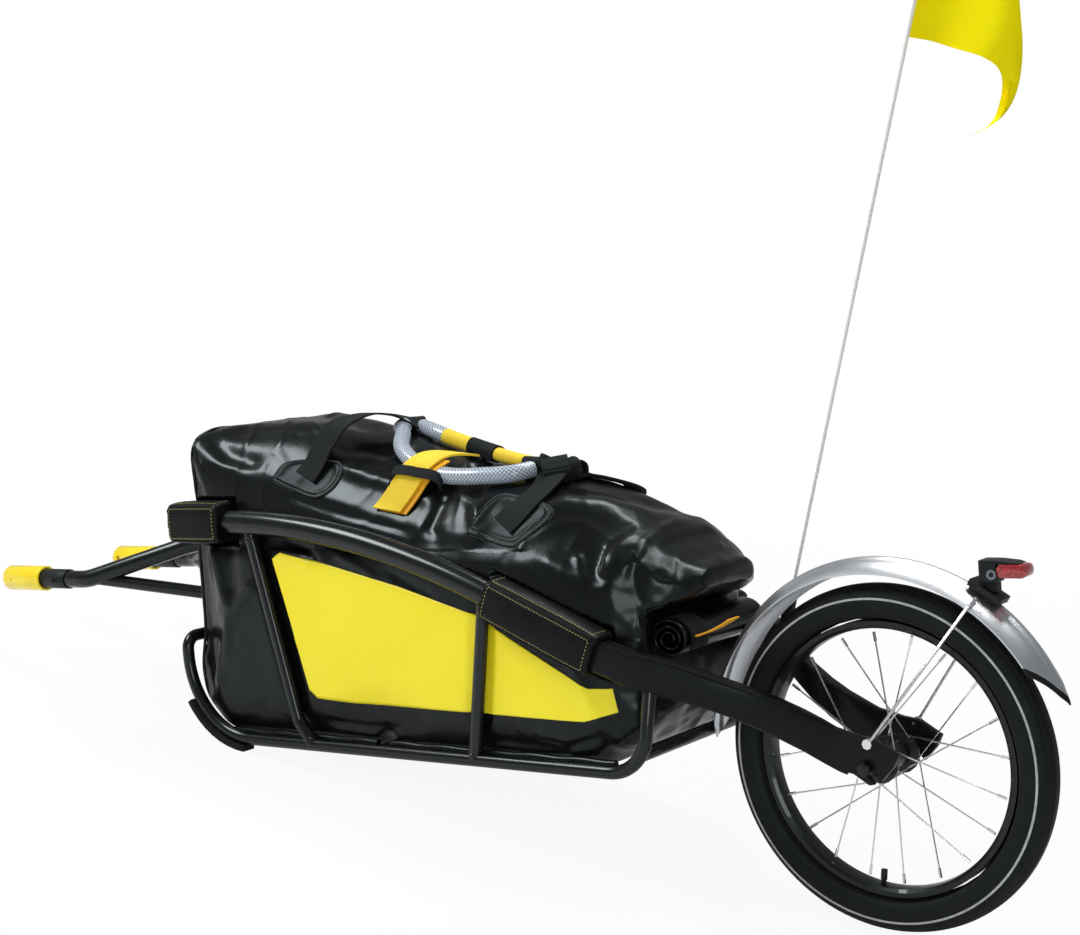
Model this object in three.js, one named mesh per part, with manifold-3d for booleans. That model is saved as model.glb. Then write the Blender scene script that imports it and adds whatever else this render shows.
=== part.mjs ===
// Single wheel touring trailer with its dry bag, parked on its wheel and its two front skids.
// Millimetres, +Z up, +X towards the wheel, -Y on the trailer's left.
// Every piece is drawn in the level riding frame, whose origin is the middle of the wheel axle.
// The whole trailer is then tipped nose down by the parking angle and set on the floor.

import * as THREE from 'three';
import { mergeVertices } from 'three/addons/utils/BufferGeometryUtils.js';
import Module from 'manifold-3d';

const wasm = await Module();
wasm.setup();

// General clearances and drawing steps
const gap = 0.3;
const cutOverrun = 2;
const weldDistance = 0.001;
const tubeSides = 10;
const roundSides = 14;
const thinSides = 8;
const arcStepDegrees = 15;
const sides = { left: -1, right: 1 };

// Wheel
const wheelRadius = 200;
const tyreSection = 23.5;
const tyreWall = 3.5;
const treadGroove = { width: 3, depth: 1.3, offset: 6.5 };
const rimFlangeRadius = 158.5;
const rimInnerRadius = 146;
const rimHalfWidth = 12.5;
const rimFlangeWall = 2;
const rimWellRadius = 150.5;
const rimWellHalfWidth = 5;
const rimSeatRadius = 152.5;
const wheelSegments = 36;
const sidewallSteps = 3;
const valveAngle = THREE.MathUtils.degToRad(263);
const valveRadius = 2.8;
const valveTipRadius = 138;
const valveCap = { radius: 3.9, length: 12, overlap: 6 };
const spokeCount = 20;
const spokePhaseShare = 0.2;
const spokeRadius = 1;
const spokeSides = 5;
const nipple = { radius: 1.9, length: 11 };
const spokeCrossDegrees = 72;
const hub = { barrelRadius: 15, flangeRadius: 24, flangeOffset: 26, flangeWall: 3.2, halfLength: 40 };
const hubNeck = 13.5;
const bearing = { outerRadius: 10.5, width: 8 };
const axleRadius = 4.75;
const dropoutInner = 50;
const dropoutWall = 7;
const axleNut = { radius: 8.5, length: 8.5 };
const lever = { length: 52, width: 9, thickness: 6, pivotRadius: 7, stand: 5 };

// Mudguard, its stays, the light and the flag
const fenderRadius = 230;
const fenderEdgeDrop = 13;
const fenderHalfWidth = 31;
const fenderRidge = 2.4;
const fenderWall = 1.4;
const fenderFrontAngle = THREE.MathUtils.degToRad(178);
const fenderFrontEdgeAngle = THREE.MathUtils.degToRad(168);
const fenderTipAngle = THREE.MathUtils.degToRad(20.8);
const fenderEdgeAngle = THREE.MathUtils.degToRad(32.8);
const fenderTrimLength = THREE.MathUtils.degToRad(2.4);
const fenderSteps = 20;
const stayRadius = 1.9;
const stayEye = { x: 6, z: 29, radius: 6, length: 7 };
const stayTopAngle = THREE.MathUtils.degToRad(56);
const lightAngle = THREE.MathUtils.degToRad(57);
const lightFoot = { length: 42, width: 26, height: 8, offset: 5 };
const lightStem = { length: 16, width: 14, height: 10 };
const lightHousing = { length: 20, offset: 11, width: 24, height: 25, brow: 20, browWall: 4 };
const lens = { length: 34, height: 15, width: 22, round: 7 };
const flagPole = { radius: 2, tilt: THREE.MathUtils.degToRad(17.2), length: 913 };
const poleFootShare = 0.352;
const poleSocket = { outerRadius: 8, length: 52, floor: 9, lift: 3 };
const flagCloth = { hoist: 200, fly: 205, thickness: 1.6, columns: 16, rows: 5 };
const flagRouteShares = [[0, 0, 0], [0.27, 0.1, 0.11], [0.48, 0.02, 0.25], [0.52, -0.11, 0.42], [0.31, -0.02, 0.52]];
const flagTopDroopShare = 0.8;

// Frame tubes
const railHalfWidth = 150;
const railRadius = 16;
const railHeight = 287;
const railArcStart = -890;
const railArcRadius = 1180;
const railArcAngle = 0.4;
const railArcEnd = railArcStart + railArcRadius * Math.sin(railArcAngle);
const railRearX = -330;
const railCorner = 38;
const railFrontX = -985;
const baseHalfWidth = 150;
const baseRadius = 8;
const baseHeight = -5;
const runnerX = -866;
const runnerRadius = 109;
const baseFrontRise = 25;
const baseRearX = -283;
const baseRearRadius = 55;
const baseRearAngle = THREE.MathUtils.degToRad(80);
const uprightTop = { x: -228, y: 137, z: 92 };
const frontStay = { radius: 8.5, topX: -838, topZ: 276, kneeX: -776, kneeZ: 24, footX: -752 };
const midStay = { radius: 8, ahead: 19.5, lean: 34 };
const midStayTopX = railArcEnd - midStay.ahead;
const floorCrossX = -640;
const skid = { innerClearance: 0.3, thickness: 8, width: 22, start: THREE.MathUtils.degToRad(4), reach: THREE.MathUtils.degToRad(60) };

// Arms: each row is a station from the rail to the axle plate, as shares of the arm's length, rise,
// inward sweep from the plate's face to the rail, depth and growth in width from the plate's wall
const armWidth = 26;
const armDepth = 50;
const armStationShares = [
  { along: 1, rise: 1, spread: 1, depth: 0.72, width: 1 },
  { along: 0.794, rise: 0.811, spread: 0.981, depth: 0.76, width: 0.947 },
  { along: 0.673, rise: 0.727, spread: 0.849, depth: 0.82, width: 0.895 },
  { along: 0.576, rise: 0.635, spread: 0.651, depth: 0.8, width: 0.895 },
  { along: 0.485, rise: 0.529, spread: 0.425, depth: 0.78, width: 0.842 },
  { along: 0.358, rise: 0.384, spread: 0.189, depth: 0.86, width: 0.737 },
  { along: 0.236, rise: 0.251, spread: 0.057, depth: 0.94, width: 0.526 },
  { along: 0.133, rise: 0.145, spread: 0.009, depth: 1, width: 0.158 },
  { along: 0.079, rise: 0.093, spread: 0, depth: 0.94, width: 0 },
];
const armCornerShare = 0.16;
const armLeanShare = 0.5;
const armSteps = 12;
const dropoutReach = 44;
const dropoutOutlineShares = [
  [-0.91, 1], [-0.18, 0.82], [0.32, 0.75], [0.91, 0.39], [0.77, 0.09], [0.32, -0.39], [0.05, -0.43],
  [-0.36, -0.18], [-0.91, -0.05],
];
const slotDirectionShares = [0.32, -0.39];

// Steering head and drawbar
const headX = -1032;
const headAxisRadius = 8;
const lugRadius = 17;
const upperLug = { bottom: 270, top: 303 };
const lowerLug = { bottom: 116, top: 144 };
const pinHead = { radius: 13, height: 8 };
const sleeveRadius = 17;
const sleeveBore = 13;
const bushFlange = 3;
const yokeRadius = 12.5;
const braceRadius = 9;
const couplerHalfSpan = 107;
const couplerHeight = 197;
const yokeRootZ = 247;
const braceRootZ = 163;
const collar = { radius: 14.5, front: -1312, rear: -1260, boltRadius: 4, boltLength: 3 };
const couplerRod = { radius: 11, front: -1401 };
const couplerSlot = { centreX: -1385, width: 10.5, height: 15 };
const sleeve = { radius: 18.5, bore: 15.2, front: -1406, rear: -1313.5, lipX: -1374 };
const coilSpring = { wire: 1, turns: 5, radius: 13 };

// Bag: each row is a section from the front to the rear, as shares of the bag's length, half width and
// height, and how square its top corners are
const bagClearance = { front: 11, rear: 56 };
const bagFront = railFrontX + railRadius + bagClearance.front;
const bagLength = -wheelRadius - bagClearance.rear - bagFront;
const bagHalfWidth = 133;
const bagBottom = 3.5;
const bagHeight = 405.5;
const bagStationShares = [
  { along: 0, half: 0.93, top: 0.955, bottom: 0.056, square: 1.15 },
  { along: 0.0115, half: 0.985, top: 0.972, bottom: 0.011, square: 1.1 },
  { along: 0.083, half: 1, top: 0.987, bottom: 0, square: 0.9 },
  { along: 0.198, half: 1, top: 1, bottom: 0, square: 0.55 },
  { along: 0.313, half: 1, top: 0.968, bottom: 0, square: 0.36 },
  { along: 0.428, half: 1, top: 0.915, bottom: 0, square: 0.3 },
  { along: 0.52, half: 1, top: 0.865, bottom: 0, square: 0.32 },
  { along: 0.6, half: 1, top: 0.832, bottom: 0, square: 0.34 },
  { along: 0.69, half: 1, top: 0.818, bottom: 0, square: 0.36 },
  { along: 0.79, half: 1, top: 0.78, bottom: 0, square: 0.34 },
  { along: 0.875, half: 0.99, top: 0.725, bottom: 0.002, square: 0.32 },
  { along: 0.96, half: 0.96, top: 0.658, bottom: 0.026, square: 0.36 },
  { along: 1, half: 0.88, top: 0.618, bottom: 0.08, square: 0.4 },
];
const bagTailShares = [
  { along: 0.96, half: 0.9, top: 0.65, bottom: 0.42, square: 0.36 },
  { along: 1.02, half: 0.78, top: 0.58, bottom: 0.43, square: 0.4 },
  { along: 1.055, half: 0.6, top: 0.54, bottom: 0.445, square: 0.4 },
  { along: 1.08, half: 0.42, top: 0.53, bottom: 0.47, square: 0.4 },
];
const bagShoulderShare = 0.49;
const bagSquarePowerShares = { round: 0.9, square: 0.35, bottom: 0.28 };
const bagColumns = 22;
const rollTop = { radiusX: 20, radiusZ: 16, halfWidth: 88, drop: 19 };
const panelWall = 1.6;
const panelOutlineShares = [
  [0.217, 0.578], [0.239, 0.598], [0.356, 0.561], [0.521, 0.499], [0.695, 0.416], [0.92, 0.213],
  [0.9615, 0.213], [0.967, 0.144], [0.907, 0.115], [0.682, 0.12], [0.392, 0.12], [0.303, 0.129],
  [0.285, 0.154], [0.251, 0.376],
];

// Handles: rows of places on the bag, as shares of its length from the front, of its half width from
// the middle (near side negative) and of the handles' rise above the bag, with a share of the strap's width
const webbing = { width: 36, thickness: 2.4 };
const hose = { radius: 11, bore: 8.4 };
const handleRise = 30;
const webFrontShares = [
  { along: 0.268, across: -0.92, lift: -0.5, width: 1, turn: 0 },
  { along: 0.282, across: -0.83, lift: 0.05, width: 1, turn: 0 },
  { along: 0.33, across: -0.62, lift: 1.05, width: 1, turn: 0 },
  { along: 0.39, across: -0.38, lift: 1.2, width: 1, turn: 0.3 },
  { along: 0.44, across: -0.14, lift: 0.95, width: 0.8, turn: 0.8 },
];
const hoseOverShares = [
  { along: 0.462, across: 0.02, lift: 0.75, width: 0.36, turn: 1 },
  { along: 0.51, across: 0.2, lift: 0.55, width: 0.36, turn: 1 },
  { along: 0.58, across: 0.3, lift: 0.42, width: 0.36, turn: 1 },
  { along: 0.65, across: 0.32, lift: 0.42, width: 0.36, turn: 1 },
];
const webFarRearShares = [
  { along: 0.7, across: 0.38, lift: 0.35, width: 0.8, turn: 0.6 },
  { along: 0.74, across: 0.52, lift: 0.3, width: 1, turn: 0.2 },
  { along: 0.76, across: 0.72, lift: 0.18, width: 1, turn: 0 },
  { along: 0.76, across: 0.88, lift: 0.04, width: 1, turn: 0 },
  { along: 0.755, across: 0.95, lift: -0.5, width: 1, turn: 0 },
];
const webFarShares = [
  { along: 0.27, across: 0.92, lift: -0.5, width: 1, turn: 2 },
  { along: 0.29, across: 0.82, lift: 0.08, width: 1, turn: 2 },
  { along: 0.33, across: 0.55, lift: 0.5, width: 1, turn: 1.8 },
  { along: 0.375, across: 0.2, lift: 0.6, width: 0.6, turn: 1.4 },
  { along: 0.392, across: -0.04, lift: 0.5, width: 0.36, turn: 1.2 },
];
const hoseNearShares = [
  { along: 0.405, across: -0.17, lift: 0.42, width: 0.36, turn: 1 },
  { along: 0.45, across: -0.38, lift: 0.42, width: 0.36, turn: 1 },
  { along: 0.51, across: -0.5, lift: 0.42, width: 0.36, turn: 1 },
  { along: 0.59, across: -0.52, lift: 0.42, width: 0.36, turn: 1 },
  { along: 0.67, across: -0.46, lift: 0.5, width: 0.36, turn: 1 },
  { along: 0.74, across: -0.38, lift: 0.6, width: 0.36, turn: 1 },
];
const webRearShares = [
  { along: 0.785, across: -0.38, lift: 0.75, width: 0.8, turn: 1.4 },
  { along: 0.79, across: -0.54, lift: 0.75, width: 1, turn: 1.8 },
  { along: 0.765, across: -0.74, lift: 0.3, width: 1, turn: 2 },
  { along: 0.75, across: -0.88, lift: 0.02, width: 1, turn: 2 },
  { along: 0.74, across: -0.95, lift: -0.5, width: 1, turn: 2 },
];
const wrapStrap = { width: 34, thickness: 3 };
const wrapShares = [
  { along: 0.474, across: -0.9, lift: -0.5, width: 1, turn: 0 },
  { along: 0.482, across: -0.83, lift: 0.05, width: 1, turn: 0 },
  { along: 0.498, across: -0.74, lift: 0.66, width: 1, turn: 0 },
  { along: 0.512, across: -0.64, lift: 1.1, width: 1, turn: 0 },
  { along: 0.535, across: -0.46, lift: 1.1, width: 1, turn: 0 },
  { along: 0.55, across: -0.32, lift: 0.8, width: 1, turn: 0 },
  { along: 0.565, across: -0.12, lift: 0.5, width: 1, turn: 0 },
];
const routeSteps = 2;

// Rail wraps
const frontPad = { rear: -876, front: -970, height: 56, depth: 50, corner: 10 };
const rearPad = { start: -10, length: 168, height: 55, depth: 48, corner: 10, boreHeight: 40, boreDepth: 35 };

// Colours and finishes
const finishes = {
  frameBlack: { color: 0x16181a, roughness: 0.34, metalness: 0.25 },
  armBlack: { color: 0x1b1d1e, roughness: 0.5, metalness: 0.2 },
  rubber: { color: 0x141414, roughness: 0.85, metalness: 0 },
  rimBlack: { color: 0x1a1c1e, roughness: 0.4, metalness: 0.4 },
  steel: { color: 0xb9bcc0, roughness: 0.3, metalness: 0.9 },
  aluminium: { color: 0xb4b9be, roughness: 0.35, metalness: 0.85 },
  yellow: { color: 0xf4d80c, roughness: 0.4, metalness: 0 },
  blackPlastic: { color: 0x121315, roughness: 0.5, metalness: 0 },
  lensRed: { color: 0xb3121a, roughness: 0.15, metalness: 0 },
  white: { color: 0xe9ebe6, roughness: 0.5, metalness: 0 },
  bagBlack: { color: 0x0f1113, roughness: 0.28, metalness: 0 },
  webbingBlack: { color: 0x17181a, roughness: 0.8, metalness: 0 },
  hoseGrey: { color: 0x8f9aa8, roughness: 0.3, metalness: 0 },
  leather: { color: 0x1c201e, roughness: 0.5, metalness: 0 },
};

// Small geometry helpers
const at = (x, y, z) => new THREE.Vector3(x, y, z);

function volumeOf(geometry) {
  const position = geometry.attributes.position;
  const index = geometry.index;
  const a = at(0, 0, 0);
  const b = at(0, 0, 0);
  const c = at(0, 0, 0);
  let total = 0;
  for (let i = 0; i < index.count; i += 3) {
    a.fromBufferAttribute(position, index.getX(i));
    b.fromBufferAttribute(position, index.getX(i + 1));
    c.fromBufferAttribute(position, index.getX(i + 2));
    total += a.dot(b.cross(c));
  }
  return total;
}

// Merges shared corners and turns every face outwards.
function closed(geometry) {
  geometry.deleteAttribute('normal');
  geometry.deleteAttribute('uv');
  const merged = mergeVertices(geometry, weldDistance);
  if (volumeOf(merged) < 0) {
    const order = Array.from(merged.index.array);
    for (let i = 0; i < order.length; i += 3) {
      [order[i], order[i + 1]] = [order[i + 1], order[i]];
    }
    merged.setIndex(order);
  }
  return merged;
}

function toSolid(geometry) {
  const mesh = closed(geometry.clone());
  return new wasm.Manifold(new wasm.Mesh({
    numProp: 3,
    vertProperties: new Float32Array(mesh.attributes.position.array),
    triVerts: new Uint32Array(mesh.index.array),
  }));
}

function toGeometry(solid) {
  const mesh = solid.getMesh();
  const geometry = new THREE.BufferGeometry();
  geometry.setAttribute('position', new THREE.BufferAttribute(new Float32Array(mesh.vertProperties), 3));
  geometry.setIndex(Array.from(mesh.triVerts));
  return geometry;
}

// Corner radius of a many-sided bore that clears a round piece of the given radius
const clearing = (radius, count = tubeSides) => (radius + gap) / Math.cos(Math.PI / count);

const cut = (body, ...tools) =>
  toGeometry(tools.reduce((solid, tool) => solid.subtract(toSolid(tool)), toSolid(body)));
const join = (body, ...others) =>
  toGeometry(others.reduce((solid, other) => solid.add(toSolid(other)), toSolid(body)));

function block(centre, size) {
  return new THREE.BoxGeometry(size.x, size.y, size.z).translate(centre.x, centre.y, centre.z);
}

function rod(start, end, radius, count = tubeSides, endRadius = radius) {
  const along = end.clone().sub(start);
  const middle = start.clone().add(end).multiplyScalar(0.5);
  const turn = new THREE.Quaternion().setFromUnitVectors(at(0, 1, 0), along.clone().normalize());
  return new THREE.CylinderGeometry(endRadius, radius, along.length(), count)
    .applyQuaternion(turn).translate(middle.x, middle.y, middle.z);
}

function revolve(profile, segments) {
  const points = profile.map(([radius, y]) => new THREE.Vector2(radius, y));
  points.push(points[0].clone());
  return closed(new THREE.LatheGeometry(points, segments));
}

// A route through given points, one extrusion step for each of them
class Route extends THREE.Curve {
  constructor(points) {
    super();
    this.points = points;
  }

  getPoint(t, target = at(0, 0, 0)) {
    const place = t * (this.points.length - 1);
    const i = Math.min(Math.floor(place), this.points.length - 2);
    return target.copy(this.points[i]).lerp(this.points[i + 1], place - i);
  }

  getPointAt(u, target) {
    return this.getPoint(u, target);
  }

  getTangentAt(u, target = at(0, 0, 0)) {
    const i = Math.round(u * (this.points.length - 1));
    const before = this.points[Math.max(i - 1, 0)];
    const after = this.points[Math.min(i + 1, this.points.length - 1)];
    return target.copy(after).sub(before).normalize();
  }
}

function circleShape(radius, count) {
  const points = [];
  for (let i = 0; i < count; i += 1) {
    const angle = (i / count) * Math.PI * 2;
    points.push(new THREE.Vector2(Math.cos(angle) * radius, Math.sin(angle) * radius));
  }
  return new THREE.Shape(points);
}

function tube(points, radius, count = tubeSides) {
  const extrudePath = new Route(points);
  const steps = points.length - 1;
  return closed(new THREE.ExtrudeGeometry(circleShape(radius, count), { extrudePath, steps }));
}

// Replaces each inner corner of a route by an arc of the given radius.
function filleted(corners, radius) {
  const points = [corners[0]];
  for (let i = 1; i < corners.length - 1; i += 1) {
    const back = corners[i - 1].clone().sub(corners[i]).normalize();
    const ahead = corners[i + 1].clone().sub(corners[i]).normalize();
    const turn = Math.PI - back.angleTo(ahead);
    const setback = radius * Math.tan(turn / 2);
    const first = corners[i].clone().addScaledVector(back, setback);
    const inward = back.clone().add(ahead).normalize();
    const centre = corners[i].clone().addScaledVector(inward, radius / Math.cos(turn / 2));
    const axis = back.clone().cross(ahead).normalize();
    const steps = Math.max(1, Math.ceil(THREE.MathUtils.radToDeg(turn) / arcStepDegrees));
    for (let k = 0; k <= steps; k += 1) {
      const spoke = first.clone().sub(centre).applyAxisAngle(axis, -(turn * k) / steps);
      points.push(centre.clone().add(spoke));
    }
  }
  points.push(corners[corners.length - 1]);
  return points;
}

// A closed body between an outer and an inner grid of points
function slab(outer, inner) {
  const rows = outer.length;
  const columns = outer[0].length;
  const points = [...outer.flat(), ...inner.flat()];
  const shift = rows * columns;
  const faces = [];
  const quad = (a, b, c, d) => faces.push(a, b, c, a, c, d);
  for (let i = 0; i < rows - 1; i += 1) {
    for (let j = 0; j < columns - 1; j += 1) {
      const a = i * columns + j;
      quad(a, a + columns, a + columns + 1, a + 1);
      quad(shift + a, shift + a + 1, shift + a + columns + 1, shift + a + columns);
    }
  }
  for (let i = 0; i < rows - 1; i += 1) {
    const a = i * columns;
    const b = a + columns - 1;
    quad(a, shift + a, shift + a + columns, a + columns);
    quad(b, b + columns, shift + b + columns, shift + b);
  }
  for (let j = 0; j < columns - 1; j += 1) {
    const b = (rows - 1) * columns + j;
    quad(j, j + 1, shift + j + 1, shift + j);
    quad(b, shift + b, shift + b + 1, b + 1);
  }
  return bodyFrom(points, faces);
}

function bodyFrom(points, faces) {
  const geometry = new THREE.BufferGeometry().setFromPoints(points);
  geometry.setIndex(faces);
  return closed(geometry);
}

// A closed body through rings of equal count, with flat or nearly flat ends
function loft(rings) {
  const count = rings[0].length;
  const faces = [];
  for (let i = 0; i < rings.length - 1; i += 1) {
    for (let j = 0; j < count; j += 1) {
      const next = (j + 1) % count;
      const a = i * count;
      faces.push(a + j, a + next, a + count + next, a + j, a + count + next, a + count + j);
    }
  }
  for (let j = 1; j < count - 1; j += 1) {
    const last = (rings.length - 1) * count;
    faces.push(0, j + 1, j);
    faces.push(last, last + j, last + j + 1);
  }
  return bodyFrom(rings.flat(), faces);
}

// A smooth curve through the stations' values, read at a share of the way along
function along(stations, key, share) {
  const place = share * (stations.length - 1);
  const i = Math.min(Math.floor(place), stations.length - 2);
  const t = place - i;
  const p = [i - 1, i, i + 1, i + 2].map((k) =>
    stations[Math.min(Math.max(k, 0), stations.length - 1)][key]);
  const a = 2 * p[1];
  const b = p[2] - p[0];
  const c = 2 * p[0] - 5 * p[1] + 4 * p[2] - p[3];
  const d = 3 * p[1] - p[0] - 3 * p[2] + p[3];
  return (a + b * t + c * t * t + d * t * t * t) / 2;
}

// The trailer group, level; the root puts it in its parked place
const trailer = new THREE.Group();

function add(name, finish, geometry) {
  const mesh = new THREE.Mesh(geometry, new THREE.MeshStandardMaterial(finishes[finish]));
  mesh.name = name;
  mesh.geometry.computeVertexNormals();
  trailer.add(mesh);
  return mesh;
}

// Wheel pieces: all are turned about the axle, which lies along Y
function tyreBody() {
  const centre = wheelRadius - tyreSection;
  const bead = rimFlangeRadius + gap;
  const seat = rimSeatRadius + gap;
  const hook = rimHalfWidth - rimFlangeWall - gap;
  const start = Math.acos((centre - bead - tyreWall) / tyreSection);
  const inside = tyreSection - tyreWall;
  const crownAt = (y) => centre + Math.sqrt(tyreSection ** 2 - y ** 2);
  const grooveIn = treadGroove.offset - treadGroove.width / 2;
  const grooveOut = treadGroove.offset + treadGroove.width / 2;
  const right = [
    [crownAt(grooveIn), grooveIn], [crownAt(grooveIn) - treadGroove.depth, grooveIn],
    [crownAt(grooveOut) - treadGroove.depth, grooveOut], [crownAt(grooveOut), grooveOut],
  ];
  const firstAngle = Math.asin(grooveOut / tyreSection);
  for (let i = 1; i <= sidewallSteps; i += 1) {
    const angle = THREE.MathUtils.lerp(firstAngle, Math.PI - start, i / sidewallSteps);
    right.push([centre + Math.cos(angle) * tyreSection, Math.sin(angle) * tyreSection]);
  }
  const heel = hook - tyreWall;
  right.push([bead, rimHalfWidth], [bead, hook], [seat, hook], [seat, heel], [bead, heel]);
  for (let i = sidewallSteps; i >= 1; i -= 1) {
    const angle = (i / sidewallSteps) * (Math.PI - start);
    right.push([centre + Math.cos(angle) * inside, Math.sin(angle) * inside]);
  }
  const left = right.map(([radius, y]) => [radius, -y]).reverse();
  return revolve([...right, [centre + inside, 0], ...left], wheelSegments);
}

const inWheel = (radius, angle, y = 0) => at(Math.cos(angle) * radius, y, Math.sin(angle) * radius);

function innerTubeBody() {
  const centre = wheelRadius - tyreSection;
  const facet = Math.cos(Math.PI / (2 * sidewallSteps));
  const radius = (tyreSection - tyreWall) * facet - gap;
  const profile = [];
  for (let i = 0; i < thinSides; i += 1) {
    const angle = ((i + 0.5) / thinSides) * Math.PI * 2;
    profile.push([centre + Math.cos(angle) * radius, Math.sin(angle) * radius]);
  }
  const stem = rod(inWheel(centre - radius / 2, valveAngle), inWheel(valveTipRadius, valveAngle), valveRadius, thinSides);
  return join(revolve(profile, wheelSegments), stem);
}

function valveCapBody() {
  const top = valveTipRadius + valveCap.overlap;
  const cap = rod(inWheel(top, valveAngle), inWheel(top - valveCap.length, valveAngle), valveCap.radius, tubeSides);
  const socket = rod(
    inWheel(top + cutOverrun, valveAngle), inWheel(valveTipRadius - gap, valveAngle), valveRadius + gap, thinSides);
  return cut(cap, socket);
}

function rimBody() {
  const half = rimHalfWidth;
  const hook = half - rimFlangeWall;
  const profile = [
    [rimInnerRadius, -half + rimFlangeWall], [rimInnerRadius + rimFlangeWall, -half],
    [rimFlangeRadius, -half], [rimFlangeRadius, -hook], [rimSeatRadius, -hook],
    [rimWellRadius, -rimWellHalfWidth], [rimWellRadius, rimWellHalfWidth], [rimSeatRadius, hook],
    [rimFlangeRadius, hook], [rimFlangeRadius, half], [rimInnerRadius + rimFlangeWall, half],
    [rimInnerRadius, half - rimFlangeWall],
  ];
  const hole = rod(
    inWheel(rimSeatRadius + cutOverrun, valveAngle), inWheel(rimInnerRadius - cutOverrun, valveAngle),
    valveRadius + gap, thinSides);
  return cut(revolve(profile, wheelSegments), hole);
}

function hubAndSpokes() {
  const { barrelRadius, flangeRadius, flangeOffset, flangeWall, halfLength } = hub;
  const outer = flangeOffset + flangeWall / 2;
  const innerFace = flangeOffset - flangeWall / 2;
  const bore = axleRadius + 2 * gap;
  const seat = bearing.outerRadius + gap;
  const pocket = halfLength - bearing.width;
  const profile = [
    [bore, -pocket], [seat, -pocket], [seat, -halfLength], [hubNeck, -halfLength], [hubNeck, -outer],
    [flangeRadius, -outer], [flangeRadius, -innerFace], [barrelRadius, -innerFace + flangeWall],
    [barrelRadius, innerFace - flangeWall], [flangeRadius, innerFace], [flangeRadius, outer],
    [hubNeck, outer], [hubNeck, halfLength], [seat, halfLength], [seat, pocket], [bore, pocket],
  ];
  const spokes = [];
  const holeRadius = flangeRadius - flangeWall;
  const cross = THREE.MathUtils.degToRad(spokeCrossDegrees);
  const seatRadius = rimInnerRadius * Math.cos(Math.PI / wheelSegments) - gap - nipple.radius / 2;
  for (let i = 0; i < spokeCount; i += 1) {
    const rimAngle = ((i + spokePhaseShare) / spokeCount) * Math.PI * 2;
    const side = i % 2 === 0 ? 1 : -1;
    const lead = Math.floor((i + 1) / 2) % 2 === 0 ? 1 : -1;
    const faceOffset = flangeOffset + (lead * (flangeWall + spokeRadius)) / 2;
    const hubEnd = inWheel(holeRadius, rimAngle + lead * cross, side * faceOffset);
    spokes.push(spokeBody(hubEnd, inWheel(seatRadius, rimAngle, side * nipple.radius)));
  }
  return join(revolve(profile, roundSides), ...spokes);
}

// A wire spoke with its nipple at the rim end
function spokeBody(hubEnd, rimEnd) {
  const length = hubEnd.distanceTo(rimEnd);
  const turn = new THREE.Quaternion().setFromUnitVectors(at(0, 1, 0), rimEnd.clone().sub(hubEnd).normalize());
  const shoulder = length - nipple.length;
  const profile = [
    [0, 0], [spokeRadius, 0], [spokeRadius, shoulder], [nipple.radius, shoulder], [nipple.radius, length], [0, length],
  ];
  const points = profile.map(([radius, y]) => new THREE.Vector2(radius, y));
  return closed(new THREE.LatheGeometry(points, spokeSides))
    .applyQuaternion(turn).translate(hubEnd.x, hubEnd.y, hubEnd.z);
}

function bearingBody(side) {
  const inner = axleRadius + gap;
  const outerFace = hub.halfLength;
  const innerFace = hub.halfLength - bearing.width + gap;
  return revolve([
    [inner, side * innerFace], [bearing.outerRadius, side * innerFace],
    [bearing.outerRadius, side * outerFace], [inner, side * outerFace],
  ], roundSides);
}

// The axle runs in the slots of both axle plates; the far end carries the lever's eye
function axleBody() {
  const plateOuter = dropoutInner + dropoutWall;
  const cone = dropoutInner - gap;
  const spindle = rod(at(0, -plateOuter - axleNut.length, 0), at(0, plateOuter + lever.stand, 0), axleRadius);
  const cones = [-1, 1].map((side) =>
    rod(at(0, side * (hub.halfLength + gap), 0), at(0, side * cone, 0), axleNut.radius, tubeSides));
  const nut = rod(at(0, -plateOuter - gap, 0), at(0, -plateOuter - axleNut.length, 0), axleNut.radius, 6);
  const washer = rod(at(0, plateOuter + gap, 0), at(0, plateOuter + lever.stand, 0), axleNut.radius, tubeSides);
  return join(spindle, ...cones, nut, washer);
}

// Clamping lever on the far end: a cam eye with a blade that lies along the arm when it is closed
function leverBody() {
  const y = dropoutInner + dropoutWall + lever.stand + gap + lever.pivotRadius;
  const forward = armSlopePoint(1);
  const across = forward.clone().cross(at(0, 1, 0)).normalize();
  const centre = at(0, y, 0);
  const halfEye = across.clone().multiplyScalar(lever.width / 2);
  const eye = rod(centre.clone().sub(halfEye), centre.clone().add(halfEye), lever.pivotRadius, tubeSides);
  const blade = tube([
    centre, armSlopePoint(lever.length / 2).setY(y + lever.thickness / 2), armSlopePoint(lever.length).setY(y),
  ], lever.thickness / 2, thinSides);
  return join(eye, blade);
}

// A point at the given distance from the axle, upwards and forwards along the arm
function armSlopePoint(distance) {
  const slope = Math.atan2(railHeightAt(railRearX), -railRearX);
  return at(-Math.cos(slope) * distance, 0, Math.sin(slope) * distance);
}

function addWheel() {
  add('tyre', 'rubber', tyreBody());
  add('inner_tube', 'rubber', innerTubeBody());
  add('valve_cap', 'blackPlastic', valveCapBody());
  add('rim', 'rimBlack', rimBody());
  add('hub_and_spokes', 'steel', hubAndSpokes());
  add('hub_bearing_left', 'steel', bearingBody(-1));
  add('hub_bearing_right', 'steel', bearingBody(1));
  add('axle', 'steel', axleBody());
  add('quick_release_lever', 'blackPlastic', leverBody());
}

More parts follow.
